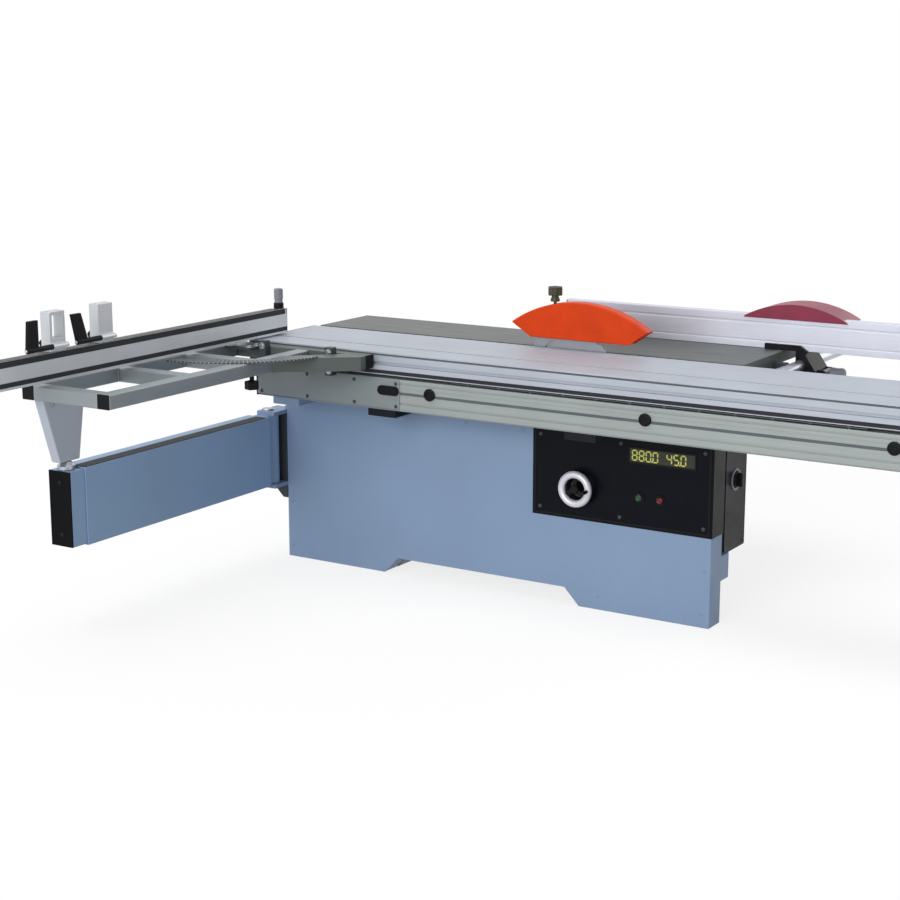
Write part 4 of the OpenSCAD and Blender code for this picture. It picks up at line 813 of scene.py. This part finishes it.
for node, body, finish, width in (
        ("trunnion_blocks", "base", rough_iron, 2),
        ("tilt_frame", "tilt_unit", rough_iron, 3),
        ("guide_rods", "tilt_unit", bright_steel, 1),
        ("scoring_arm", "tilt_unit", rough_iron, 2),
        ("arbor_carriage", "lift_unit", rough_iron, 3),
        ("drive_belt", "lift_unit", belt_rubber, 1),
        ("riving_knife", "lift_unit", blade_steel, 0.4),
        ("motor_pulley", "motor_shaft", rough_iron, 1),
        ("saw_arbor", "arbor", bright_steel, 1),
        ("blade_flange", "arbor", bright_steel, 1)):
    skin(node, body, finish, width)
fit(copy_node("saw_blade"), "arbor", blade_steel, "saw_blade")
fit(copy_node("scoring_blade"), "scorer", blade_steel, "scoring_blade")

low, high, (motor_x, motor_y, _) = box_of("motor")
r = (high[0] - low[0]) / 2
core_r = r - 11
motor_z = high[2] - r
y0, y1 = low[1], high[1]
end = y1 - y0
barrel = turn("motor_barrel", [
    (0, 60), (14.5, 60), (14.5, 0), (50, 0), (56, 6), (r - 4, 8), (r, 12), (r, 26), (core_r, 28),
    (core_r, end - 50), (r, end - 48), (r, end - 10), (r - 8, end), (60, end), (58, end - 3), (46, end - 3),
    (44, end), (32, end), (30, end - 3), (18, end - 3), (16, end), (0, end)], (motor_x, y0, motor_z), "y", 64)
fin = soft_block("fin", (motor_x - 1.3, y0 + 27, motor_z + core_r - 2),
                 (motor_x + 1.3, y1 - 49, motor_z + r - 1), 0.6, 1)
fins = around(fin, 32, (motor_x, motor_y, motor_z), "y")
terminal = block("terminal_box", (motor_x - 45, y0 + 40, low[2]), (motor_x + 45, y0 + 120, motor_z - r + 20))
round_edges(dish(terminal, "-z", 6, 1.5), 3)
fit(join("motor_body", barrel, *fins, terminal), "lift_unit", dark_enamel, "motor")
lid_spots = grid((motor_x - 34, motor_x + 34), (y0 + 51, y0 + 109), (low[2] + 1.5,))
set_out("motor_screws", screw, "down", lid_spots, "lift_unit")

low, high, (hood_x, _, _) = box_of("blade_guard")
hood_half = (high[0] - low[0]) / 2
hood_rise = high[2] - table_top - 85
arc_r = (hood_half * hood_half + hood_rise * hood_rise) / (2 * hood_rise)
arc_z = high[2] - arc_r


def hood_outline(inset, floor_z):
    lean = math.asin((hood_half - inset) / arc_r)
    angles = [lean - 2 * lean * n / 32 for n in range(33)]
    r = arc_r - inset
    arc = [(hood_x + r * math.sin(a), arc_z + r * math.cos(a)) for a in angles]
    return [(low[0] + 80 + inset * 2, floor_z), (high[0] - 72 - inset * 2, floor_z)] + arc


SKIN = 3
hood = extrude("guard_hood", "y", low[1], high[1], hood_outline(0, low[2]))
round_edges(hood, 6, 4, 30)
carve(hood, extrude("inside", "y", low[1] + SKIN, high[1] - SKIN, hood_outline(SKIN, low[2] - 10)))
knob_low, knob_high, (knob_x, knob_y, _) = box_of("guard_knob")
cheek = soft_block("cheek", (knob_x - 30, low[1] + 2, low[2] + 45),
                   (knob_x + 30, knob_y - 1.6, low[2] + 80), 3)
other = copy_of(cheek, (0, high[1] - 2 - knob_y + 1.6, 0))
fit(join("guard_hood", hood, cheek, other), "guard", guard_orange, "blade_guard")
for name, facing, y in (("guard_front_rivets", "front", low[1]), ("guard_rear_rivets", "back", high[1])):
    spots = [(60, y, 965), (180, y, 945), (360, y, 945), (480, y, 965)]
    set_out(name, rivet, facing, spots, "guard", guard_orange)
r = (knob_high[0] - knob_low[0]) / 2
head_z = knob_high[2] - 32
rise = head_z - knob_low[2]
stem = turn("guard_knob_stem", [
    (0, 0), (6, 0), (6, 12), (r * 0.6, 12.5), (r * 0.6, 20), (r * 0.45, rise - 4), (r * 0.5, rise + 3),
    (0, rise + 3)], (knob_x, knob_y, knob_low[2]), "z", 40)
head = lobed("guard_knob_head", (knob_x, knob_y), r, head_z, knob_high[2], 6)
fit(join("guard_knob_grip", head, stem), "guard_screw", olive_resin, "guard_knob")

# Swing arm

skin("arm_bracket", "base", cabinet_enamel, 3)
bracket_x = box_of("arm_bracket")[0][0]
arm_low, arm_high, _ = box_of("arm_outer")
lug_z = arm_low[2] - 15.3
web_y0, web_y1 = front - 4, front + 4
web = soft_block("arm_bracket_web", (bracket_x, web_y0, arm_low[2] - 0.3),
                 (apron_x0, web_y1, arm_high[2] + 0.3), 1.2, 2)
gusset = extrude("arm_bracket_gusset", "y", web_y0, web_y1, [
    (bracket_x + 12, lug_z), (apron_x0, lug_z), (apron_x0, lug_z - 50), (apron_x0 - 20, lug_z - 50)])
fit(join("arm_bracket_web", web, round_edges(gusset, 1.2)), "base", dark_enamel)
set_out("arm_bracket_bolts", bolt, "left", grid((apron_x0 - 8,), (-335, -285), (330, 430, 530)), "base")
low, high, (pin_x, pin_y, _) = box_of("arm_pivot_pin")
r, top = (high[0] - low[0]) / 2, high[2] - low[2]
pin = turn("arm_pin", [
    (0, 0), (13, 0), (15, 2), (15, top - 7.9), (r, top - 7.7), (r, top - 2), (r - 2, top), (6, top),
    (5, top - 1), (0, top - 1)], (pin_x, pin_y, low[2]), "z")
fit(pin, "base", bright_steel, "arm_pivot_pin")
# The arm wears the lightened paint, as painted light
skin("arm_outer", "swing_arm", arm_enamel, 3.5, 3)
strip = soft_block("arm_top_strip", (arm_low[0] + 48, arm_low[1] + 4, arm_high[2] - 0.5),
                   (arm_high[0] - 4, -470, arm_high[2] + 2), 0.8)
fit(strip, "swing_arm", strip_rubber_and_shade)
skin("arm_inner", "arm_slider", arm_enamel, 2.5)
low, high, (cap_x, _, _) = box_of("arm_end_cap")
cap = dish(block("arm_cap", low, high), "-y", 12, 2.2)
fit(round_edges(cap, 1.6, 3), "arm_slider", cap_resin, "arm_end_cap")
cap_spots = [(cap_x, low[1] + 2.2, z) for z in (low[2] + 40, high[2] - 40)]
set_out("arm_cap_screws", screw, "front", cap_spots, "arm_slider", bracket_enamel, "black_plastic")

# Support post and its foot

low, high, (post_x, _, _) = box_of("support_post")
foot_low, foot_high, (_, foot_y, _) = box_of("post_foot")
post = extrude("post", "x", low[0], high[0], [
    (low[1], high[2]), (high[1], high[2]), (foot_y + 46.5, low[2]), (foot_y - 46.5, low[2])])
round_edges(post, 4, 3)
carve(post, rod("hole", 12.1, foot_low[2], foot_high[2] + 6, (post_x, foot_y, 0), "z"))
fit(post, "outrigger", post_enamel, "support_post")
set_out("post_bolts", bolt, "right", grid((high[0],), (low[1] + 45, low[1] + 155), (797,)), "outrigger")
r, top, disc = (foot_high[0] - foot_low[0]) / 2, foot_high[2] - foot_low[2], 30
thread = [(11.2 + 0.7 * (n % 2), disc + 2 + 1.8 * n) for n in range(28)]
foot = turn("post_foot_disc", [
    (0, 0), (r - 3, 0), (r, 3), (r, 14), (r * 0.86, 18), (r * 0.62, disc - 2), (11.8, disc), *thread,
    (11.2, top), (0, top)], (post_x, foot_y, foot_low[2]), "z")
fit(foot, "swivel_foot", bright_steel, "post_foot")

# Outrigger

frame_low, frame_high, _ = box_of("outrigger_frame")
TUBE = frame_high[2] - frame_low[2]
knob_low, knob_high, (lock_x, lock_y, _) = box_of("outrigger_knob")
out_x0, out_x1, beam_x1 = frame_low[0], lock_x + TUBE / 2, frame_high[0]
near_x, far_x = out_x0 + TUBE, out_x1 - TUBE
far_y, beam_y, beam_y1 = frame_low[1], frame_high[1] - TUBE, frame_high[1]
z0, z1 = frame_low[2], frame_high[2]
PLUG, PLUG_FIT = 3, 0.8
FENCE_X, FENCE_Y = -880, -640
beam = soft_block("outrigger_beam", (out_x0 + PLUG, beam_y, z0), (beam_x1 - PLUG, beam_y1, z1), 5)
fit(beam, "outrigger", beam_enamel, "outrigger_frame")
side = soft_block("side_tube", (out_x0, far_y + PLUG, z0), (near_x, beam_y, z1), 5)
far_side = copy_of(side, (far_x - out_x0, 0, 0))
carve(far_side, rod("hole", 8.6, z0 - 10, z0 + 30, (lock_x, lock_y, 0), "z"))
cross_places = (beam_y - 300, beam_y - 650, far_y)
cross = soft_block("cross_tube", (near_x - 1, 0, z0 + 0.4), (far_x + 1, TUBE, z1 - 0.4), 5)
crosses = [copy_of(cross, (0, y, 0)) for y in cross_places]
# The tubes take the darkened aluminium, partly painted shade
fit(join("outrigger_tubes", side, far_side, *crosses), "outrigger", tube_aluminium_with_shade, "outrigger_frame")
gusset = extrude("outrigger_gusset", "z", z0, z1, [
    (out_x1, beam_y), (beam_x1, beam_y), (beam_x1, beam_y - 30), (out_x1, beam_y - 220),
    (out_x1, beam_y - 160), (beam_x1 - 90, beam_y - 0.5)])
fit(round_edges(gusset, 4, 3), "outrigger", beam_enamel, "outrigger_frame")
plate = soft_block("pivot_plate", (near_x - 1, FENCE_Y - 40, z1 - 10), (FENCE_X + 80, beam_y, z1), 2)
carve(plate, rod("hole", 10.1, z1 - 20, z1 + 10, (FENCE_X, FENCE_Y, 0), "z"))
fit(plate, "outrigger", dark_enamel, "outrigger_frame")
plate_spots = grid((FENCE_X + 62,), (FENCE_Y - 26, FENCE_Y + 22), (z1,))
set_out("pivot_plate_bolts", bolt, "up", plate_spots, "outrigger")


def tube_plug(name, side, low, high):
    across = 0 if side[1] == "y" else 1
    plug_low, plug_high = [*low, z0 + PLUG_FIT], [*high, z1 - PLUG_FIT]
    plug_low[across] += PLUG_FIT
    plug_high[across] -= PLUG_FIT
    return round_edges(dish(block(name, plug_low, plug_high), side, 6, 1.2), 1.4)


tube_cap = tube_plug("tube_cap", "-y", (out_x0, far_y), (near_x, far_y + PLUG + 1))
far_cap = copy_of(tube_cap, (far_x - out_x0, 0, 0))
beam_caps = [tube_plug("beam_cap", "-x", (out_x0, beam_y), (out_x0 + PLUG + 1, beam_y1)),
             tube_plug("beam_cap", "+x", (beam_x1 - PLUG - 1, beam_y), (beam_x1, beam_y1))]
fit(join("outrigger_caps", tube_cap, far_cap, *beam_caps), "outrigger", black_resin)
weld_spots = []
for y in cross_places[:2]:
    weld_spots += [(near_x, y + TUBE, 0), (far_x, y + TUBE, 1), (far_x, y, 2), (near_x, y, 3)]
weld_spots += [(near_x, far_y + TUBE, 0), (far_x, far_y + TUBE, 1), (far_x, beam_y, 2)]
beads = [copy_of(bead, (x, y, z0 + 2), (0, 0, quarter)) for x, y, quarter in weld_spots]
fit(join("outrigger_welds", *beads), "outrigger", weld_steel)

skin("outrigger_clamps", "outrigger", dark_enamel, 2)
low, high, _ = box_of("outrigger_clamps")
set_out("clamp_bolts", bolt, "front", grid((low[0] + 40, high[0] - 40), (low[1],), (810, 876)), "outrigger")
top = knob_high[2] - knob_low[2]
stem = turn("lock_stem", [(0, 20), (8, 20), (8.5, top - 1), (7, top), (0, top)],
            (lock_x, lock_y, knob_low[2]), "z", 32)
lock_r = (knob_high[0] - knob_low[0]) / 2
lock = lobed("lock_knob", (lock_x, lock_y), lock_r, knob_low[2], knob_low[2] + 30, 5)
fit(join("outrigger_lock", lock, stem), "lock_screw", black_resin, "outrigger_knob")

low, high, _ = box_of("mitre_quadrant")
angles = [math.radians(-88 + 76 * n / 40) for n in range(41)]
arcs = [(430, a) for a in angles] + [(380, a) for a in reversed(angles)]
quadrant = extrude("quadrant", "z", low[2], high[2],
                   [(FENCE_X + r * math.cos(a), FENCE_Y + r * math.sin(a)) for r, a in arcs])
quadrant_scale = dialled("quadrant_scale", (74, 78, 82), (200, 202, 204), (FENCE_X, FENCE_Y, 0), "YX",
                         180, 0.6)
fit(round_edges(quadrant, 0.7), "outrigger", quadrant_scale, "mitre_quadrant")

# Crosscut fence, its extension and the stops

low, high, _ = box_of("crosscut_fence")
y0, y1 = low[1], high[1]
x0, x1 = FENCE_X - 20, FENCE_X + 20
base_z, top = 886, high[2]
fence = extrude("fence_profile", "y", y0, y1, [
    (x0, base_z), (x1, base_z), (x1, 894), (x1 - 3, 894), (x1 - 3, 910), (x1, 910), (x1, top - 22),
    (x1 - 1.2, top - 22), (x1 - 1.2, top - 2), (x1, top - 2), (x1, top - 1.2), (x0, top - 1.2), (x0, 936),
    (x0 + 3, 936), (x0 + 3, 922), (x0, 922)])
carve(fence, block("hollow", (x0 + SHEET, y0 - 10, base_z + SHEET), (x1 - SHEET, y1 - SHEET, top - SHEET)))
round_edges(fence, 0.6, 2, 50)
boss = turn("fence_boss", [
    (0, low[2]), (9.5, low[2]), (10, low[2] + 1), (10, 872.5), (24, 872.5), (24, base_z), (0, base_z)],
    (FENCE_X, FENCE_Y, 0), "z")
fit(join("fence_profile", fence, boss), "fence", fence_aluminium, "crosscut_fence")
for name, low, high, width, steps, finish in (
        ("fence_scale_strip", (x0 + 0.5, y0 + 2, top - 1.3), (x1 - 0.5, y1 - 50, top - 0.1), 0.2, 1,
         fence_scale),
        ("fence_face_band", (x1 - 1.3, y0 + 2, top - 21.8), (x1 - 0.1, y1 - 10, top - 2.2), 0.3, 3,
         strip_rubber_and_shade),
        # The strip in the fence's slot is painted shade
        ("fence_slot_shade", (x1 - 3.1, y0 + 2, 894.2), (x1 - 1.8, y1 - 2, 909.8), 0.4, 3, strip_rubber_and_shade)):
    fit(soft_block(name, low, high, width, steps), "fence", finish)
cap = block("fence_cap", (x0 + 0.5, y1 - 1, base_z + 0.5), (x1 - 0.5, y1 + 3, top - 1.4))
fit(round_edges(dish(cap, "+y", 5, 1), 1.2), "fence", black_resin)
low, high, _ = box_of("fence_extension")
extension = copy_node("fence_extension")
choose_faces(extension, lambda c, n: c.y < low[1] + 0.1)
bpy.ops.transform.translate(value=(0, 3 * MM, 0))
close_mesh()
fit(round_edges(extension, 2), "fence_slider", fence_aluminium, "fence_extension")
cap = block("extension_cap", (low[0] + 0.5, low[1], low[2] + 0.5), (high[0] - 0.5, low[1] + 4, high[2] - 0.5))
fit(round_edges(dish(cap, "-y", 5, 1), 1.2), "fence_slider", black_resin)

low, high, (_, post_y, _) = box_of("fence_post")
r, top = (high[0] - low[0]) / 2, high[2] - low[2]
post_spot = (FENCE_X, post_y, low[2])
base = turn("fence_post_base", [(0, 0), (r, 0), (r, 18), (r - 3, 22), (0, 22)], post_spot, "z")
fit(base, "fence", black_resin, "fence_post")
pin = turn("fence_post_pin", [
    (0, 21), (15.5, 21), (15.5, 34), (17, 36), (17, top - 6), (15, top - 1.5), (9, top), (0, top)],
    post_spot, "z")
fit(pin, "fence", grey_resin, "fence_post", slot="bright_steel")

for stop, flip, lean in (("stop_a", "flip_a", 30), ("stop_b", "flip_b", 0)):
    low, high, _ = box_of(stop + "_block")
    middle_y, seat_z = high[1] - 35, high[2] - 2.6
    top_spots = grid((FENCE_X,), (middle_y - 22, middle_y + 22), (seat_z,))
    holder = round_edges(copy_node(stop + "_block"), 2.5)
    carve(holder, *[rod("pocket", 8.5, 0, 10, spot, "z", 24) for spot in top_spots])
    fit(holder, stop, fence_aluminium, stop + "_block")
    neck = turn("neck", [(0, -8), (8, -8), (8, 4), (0, 4)], HERE, "z", 24)
    knob = join(stop + "_knob", lobed(stop + "_knob", HERE, 20, 0, 22, 5), neck)
    set_out(stop + "_grip", knob, "left", [(FENCE_X - 26, middle_y, 1000)], stop, black_resin)
    bpy.data.objects.remove(knob)
    set_out(stop + "_screws", screw, "up", top_spots, stop)
    low, high, (pin_x, _, _) = box_of(stop + "_finger")
    pin_z, tube_l = low[2] + 9, 116
    tube_y = high[1] - tube_l
    bush = sleeve(stop + "_sleeve", 5.2, 9, 1.2, tube_l, (pin_x, tube_y, pin_z), "y", 32)
    paddle = extrude("paddle", "x", pin_x - 6, pin_x + 6, [
        (tube_y, pin_z + 2), (tube_y + 50, pin_z + 2), (tube_y + 50 - lean, high[2]),
        (tube_y + 8 - lean, high[2])])
    carve(paddle, rod("hole", 8.6, tube_y - 100, high[1], (pin_x, 0, pin_z), "y"))
    fit(join(stop + "_paddle", round_edges(paddle, 2, 3), bush), flip, black_resin, stop + "_finger")

# Rear door and dust port

low, high, (_, _, pull_z) = box_of("rear_door")
sheet_y0, sheet_y1 = low[1], low[1] + SHEET
door = block("door_sheet", (low[0] + 6, sheet_y0, low[2]), (high[0], sheet_y1, high[2]))
fit(round_edges(dish(door, "+y", 35, 1.4), 1.2), "door", cabinet_enamel, "rear_door")
knuckles = [(0, low[2])]
for n in range(3):
    start = low[2] + 40 + n * 150
    gap = low[2] if n == 0 else start - 100
    knuckles += [(3.5, gap), (3.5, start), (6, start), (6, start + 50), (3.5, start + 50)]
knuckles += [(3.5, high[2]), (0, high[2])]
hinge = turn("door_hinge", knuckles, (low[0] + 6, sheet_y0 + 6, 0), "z", 24)
fit(hinge, "door", bright_steel, "rear_door")
pull_x = high[0] - 57
pull = block("door_pull", (pull_x - 15, sheet_y1 - 2, pull_z - 50), (pull_x + 15, high[1], pull_z + 50))
carve(pull, block("finger_gap", (pull_x - 20, sheet_y1, pull_z - 36),
                  (pull_x + 20, high[1] - 7, pull_z + 36)))
fit(round_edges(pull, 2.5, 3), "door", black_resin, "rear_door")
flat = copy_of(door_louvre, HERE, (-1, 0, 0))
open_mesh(flat)
bpy.ops.transform.rotate(value=math.pi, orient_axis="Y", center_override=HERE)
close_mesh()
rows = [low[2] + 100 + 36 * row for row in range(7)]
louvre_spots = grid((low[0] + 180, low[0] + 430), (sheet_y1 - 1.4,), rows)
set_out("door_louvres", flat, "up", louvre_spots, "door", cabinet_enamel)

low, high, (port_x, _, port_z) = box_of("dust_port")
r, end = 60, high[1] - low[1]
ribs = []
for n in range(3):
    rib = 18 + 11 * n
    ribs += [(r - 1.5, rib - 3), (r, rib - 2), (r, rib + 2), (r - 1.5, rib + 3)]
port = turn("dust_spigot", [
    (r - 4, 0), (r + 12.5, 0), (r + 14, 1), (r + 14, 4), (r + 12.5, 5), (r - 1.5, 5), *ribs,
    (r - 1.5, end - 1), (r - 2.5, end), (r - 4, end - 1), (r - 4, 0)], (port_x, low[1], port_z), "y", 64)
fit(port, "base", black_resin, "dust_port")
small_screw = copy_of(screw)
small_screw.scale = (0.7, 0.7, 0.7)
pick(small_screw)
bpy.ops.object.transform_apply(location=False, rotation=False, scale=True)
port_spots = ring_points((port_x, low[1] + 4.8, port_z), r + 6.5, "y", 6, 30)
set_out("dust_port_screws", small_screw, "back", port_spots, "base")

for spare in (screw, small_screw, bolt, rivet, bead, plug, cross, vent, flat, door_louvre, side_louvre,
              flat_bar, upright_bar):
    bpy.data.objects.remove(spare)

# Studio, in metres

deselect()
bpy.ops.mesh.primitive_plane_add(size=60, location=(0, 0, -0.0005))
floor = bpy.context.object
floor.name = "studio_floor"


def seen_directly(tree):
    rays = add_node(tree, "ShaderNodeLightPath").outputs
    seen = rays["Is Camera Ray"]
    for kind in ("Is Glossy Ray", "Is Transmission Ray"):
        seen = add_node(tree, "ShaderNodeMath", (0, seen), (1, rays[kind]), operation="MAXIMUM").outputs[0]
    return seen


WHITE, GREY = (1, 1, 1, 1), (0.5, 0.5, 0.5, 1)
paper = bpy.data.materials.new("studio_paper")
paper.use_nodes = True
tree = paper.node_tree
surface = tree.nodes["Principled BSDF"]
surface.inputs["Roughness"].default_value = 1.0
surface.inputs["Specular IOR Level"].default_value = 0.0
seen = seen_directly(tree)
shade = add_node(tree, "ShaderNodeMix", ("Factor", seen), (6, GREY), (7, WHITE), data_type="RGBA")
tree.links.new(shade.outputs[2], surface.inputs["Base Color"])
glow = add_node(tree, "ShaderNodeEmission")
share = add_node(tree, "ShaderNodeMath", (0, seen), (1, 0.8), operation="MULTIPLY")
mix = add_node(tree, "ShaderNodeMixShader", ("Fac", share.outputs[0]), (1, surface.outputs["BSDF"]),
               (2, glow.outputs["Emission"]))
tree.links.new(mix.outputs["Shader"], tree.nodes["Material Output"].inputs["Surface"])
floor.data.materials.append(paper)

world = bpy.data.worlds.new("studio")
bpy.context.scene.world = world
world.use_nodes = True
tree = world.node_tree
level = add_node(tree, "ShaderNodeMapRange", ("Value", seen_directly(tree)), ("To Min", 0.42),
                 ("To Max", 1.0))
sky = tree.nodes["Background"]
sky.inputs["Color"].default_value = WHITE
tree.links.new(level.outputs["Result"], sky.inputs["Strength"])


def lamp(name, energy, direction, spread):
    light = bpy.data.lights.new(name, "SUN")
    light.energy = energy
    light.angle = math.radians(spread)
    holder = bpy.data.objects.new(name, light)
    bpy.context.collection.objects.link(holder)
    holder.rotation_euler = Vector(direction).to_track_quat("Z", "Y").to_euler()


lamp("front_lamp", 1.7, (0.02, -0.96, 0.26), 40)
lamp("top_lamp", 1.35, (-0.1, -0.15, 1.0), 40)
lamp("back_lamp", 0.7, (0.3, 0.9, 0.25), 50)

view = bpy.data.cameras.new("photo_view")
view.sensor_width = 36
view.lens = 72.449
view.clip_end = 100
camera = bpy.data.objects.new("photo_view", view)
bpy.context.collection.objects.link(camera)
camera.location = (3.2663, -5.8264, 1.9094)
camera.rotation_euler = (math.radians(90 - 12.267), 0, math.radians(31.948))
bpy.context.scene.camera = camera
bpy.context.scene.view_settings.view_transform = "Standard"
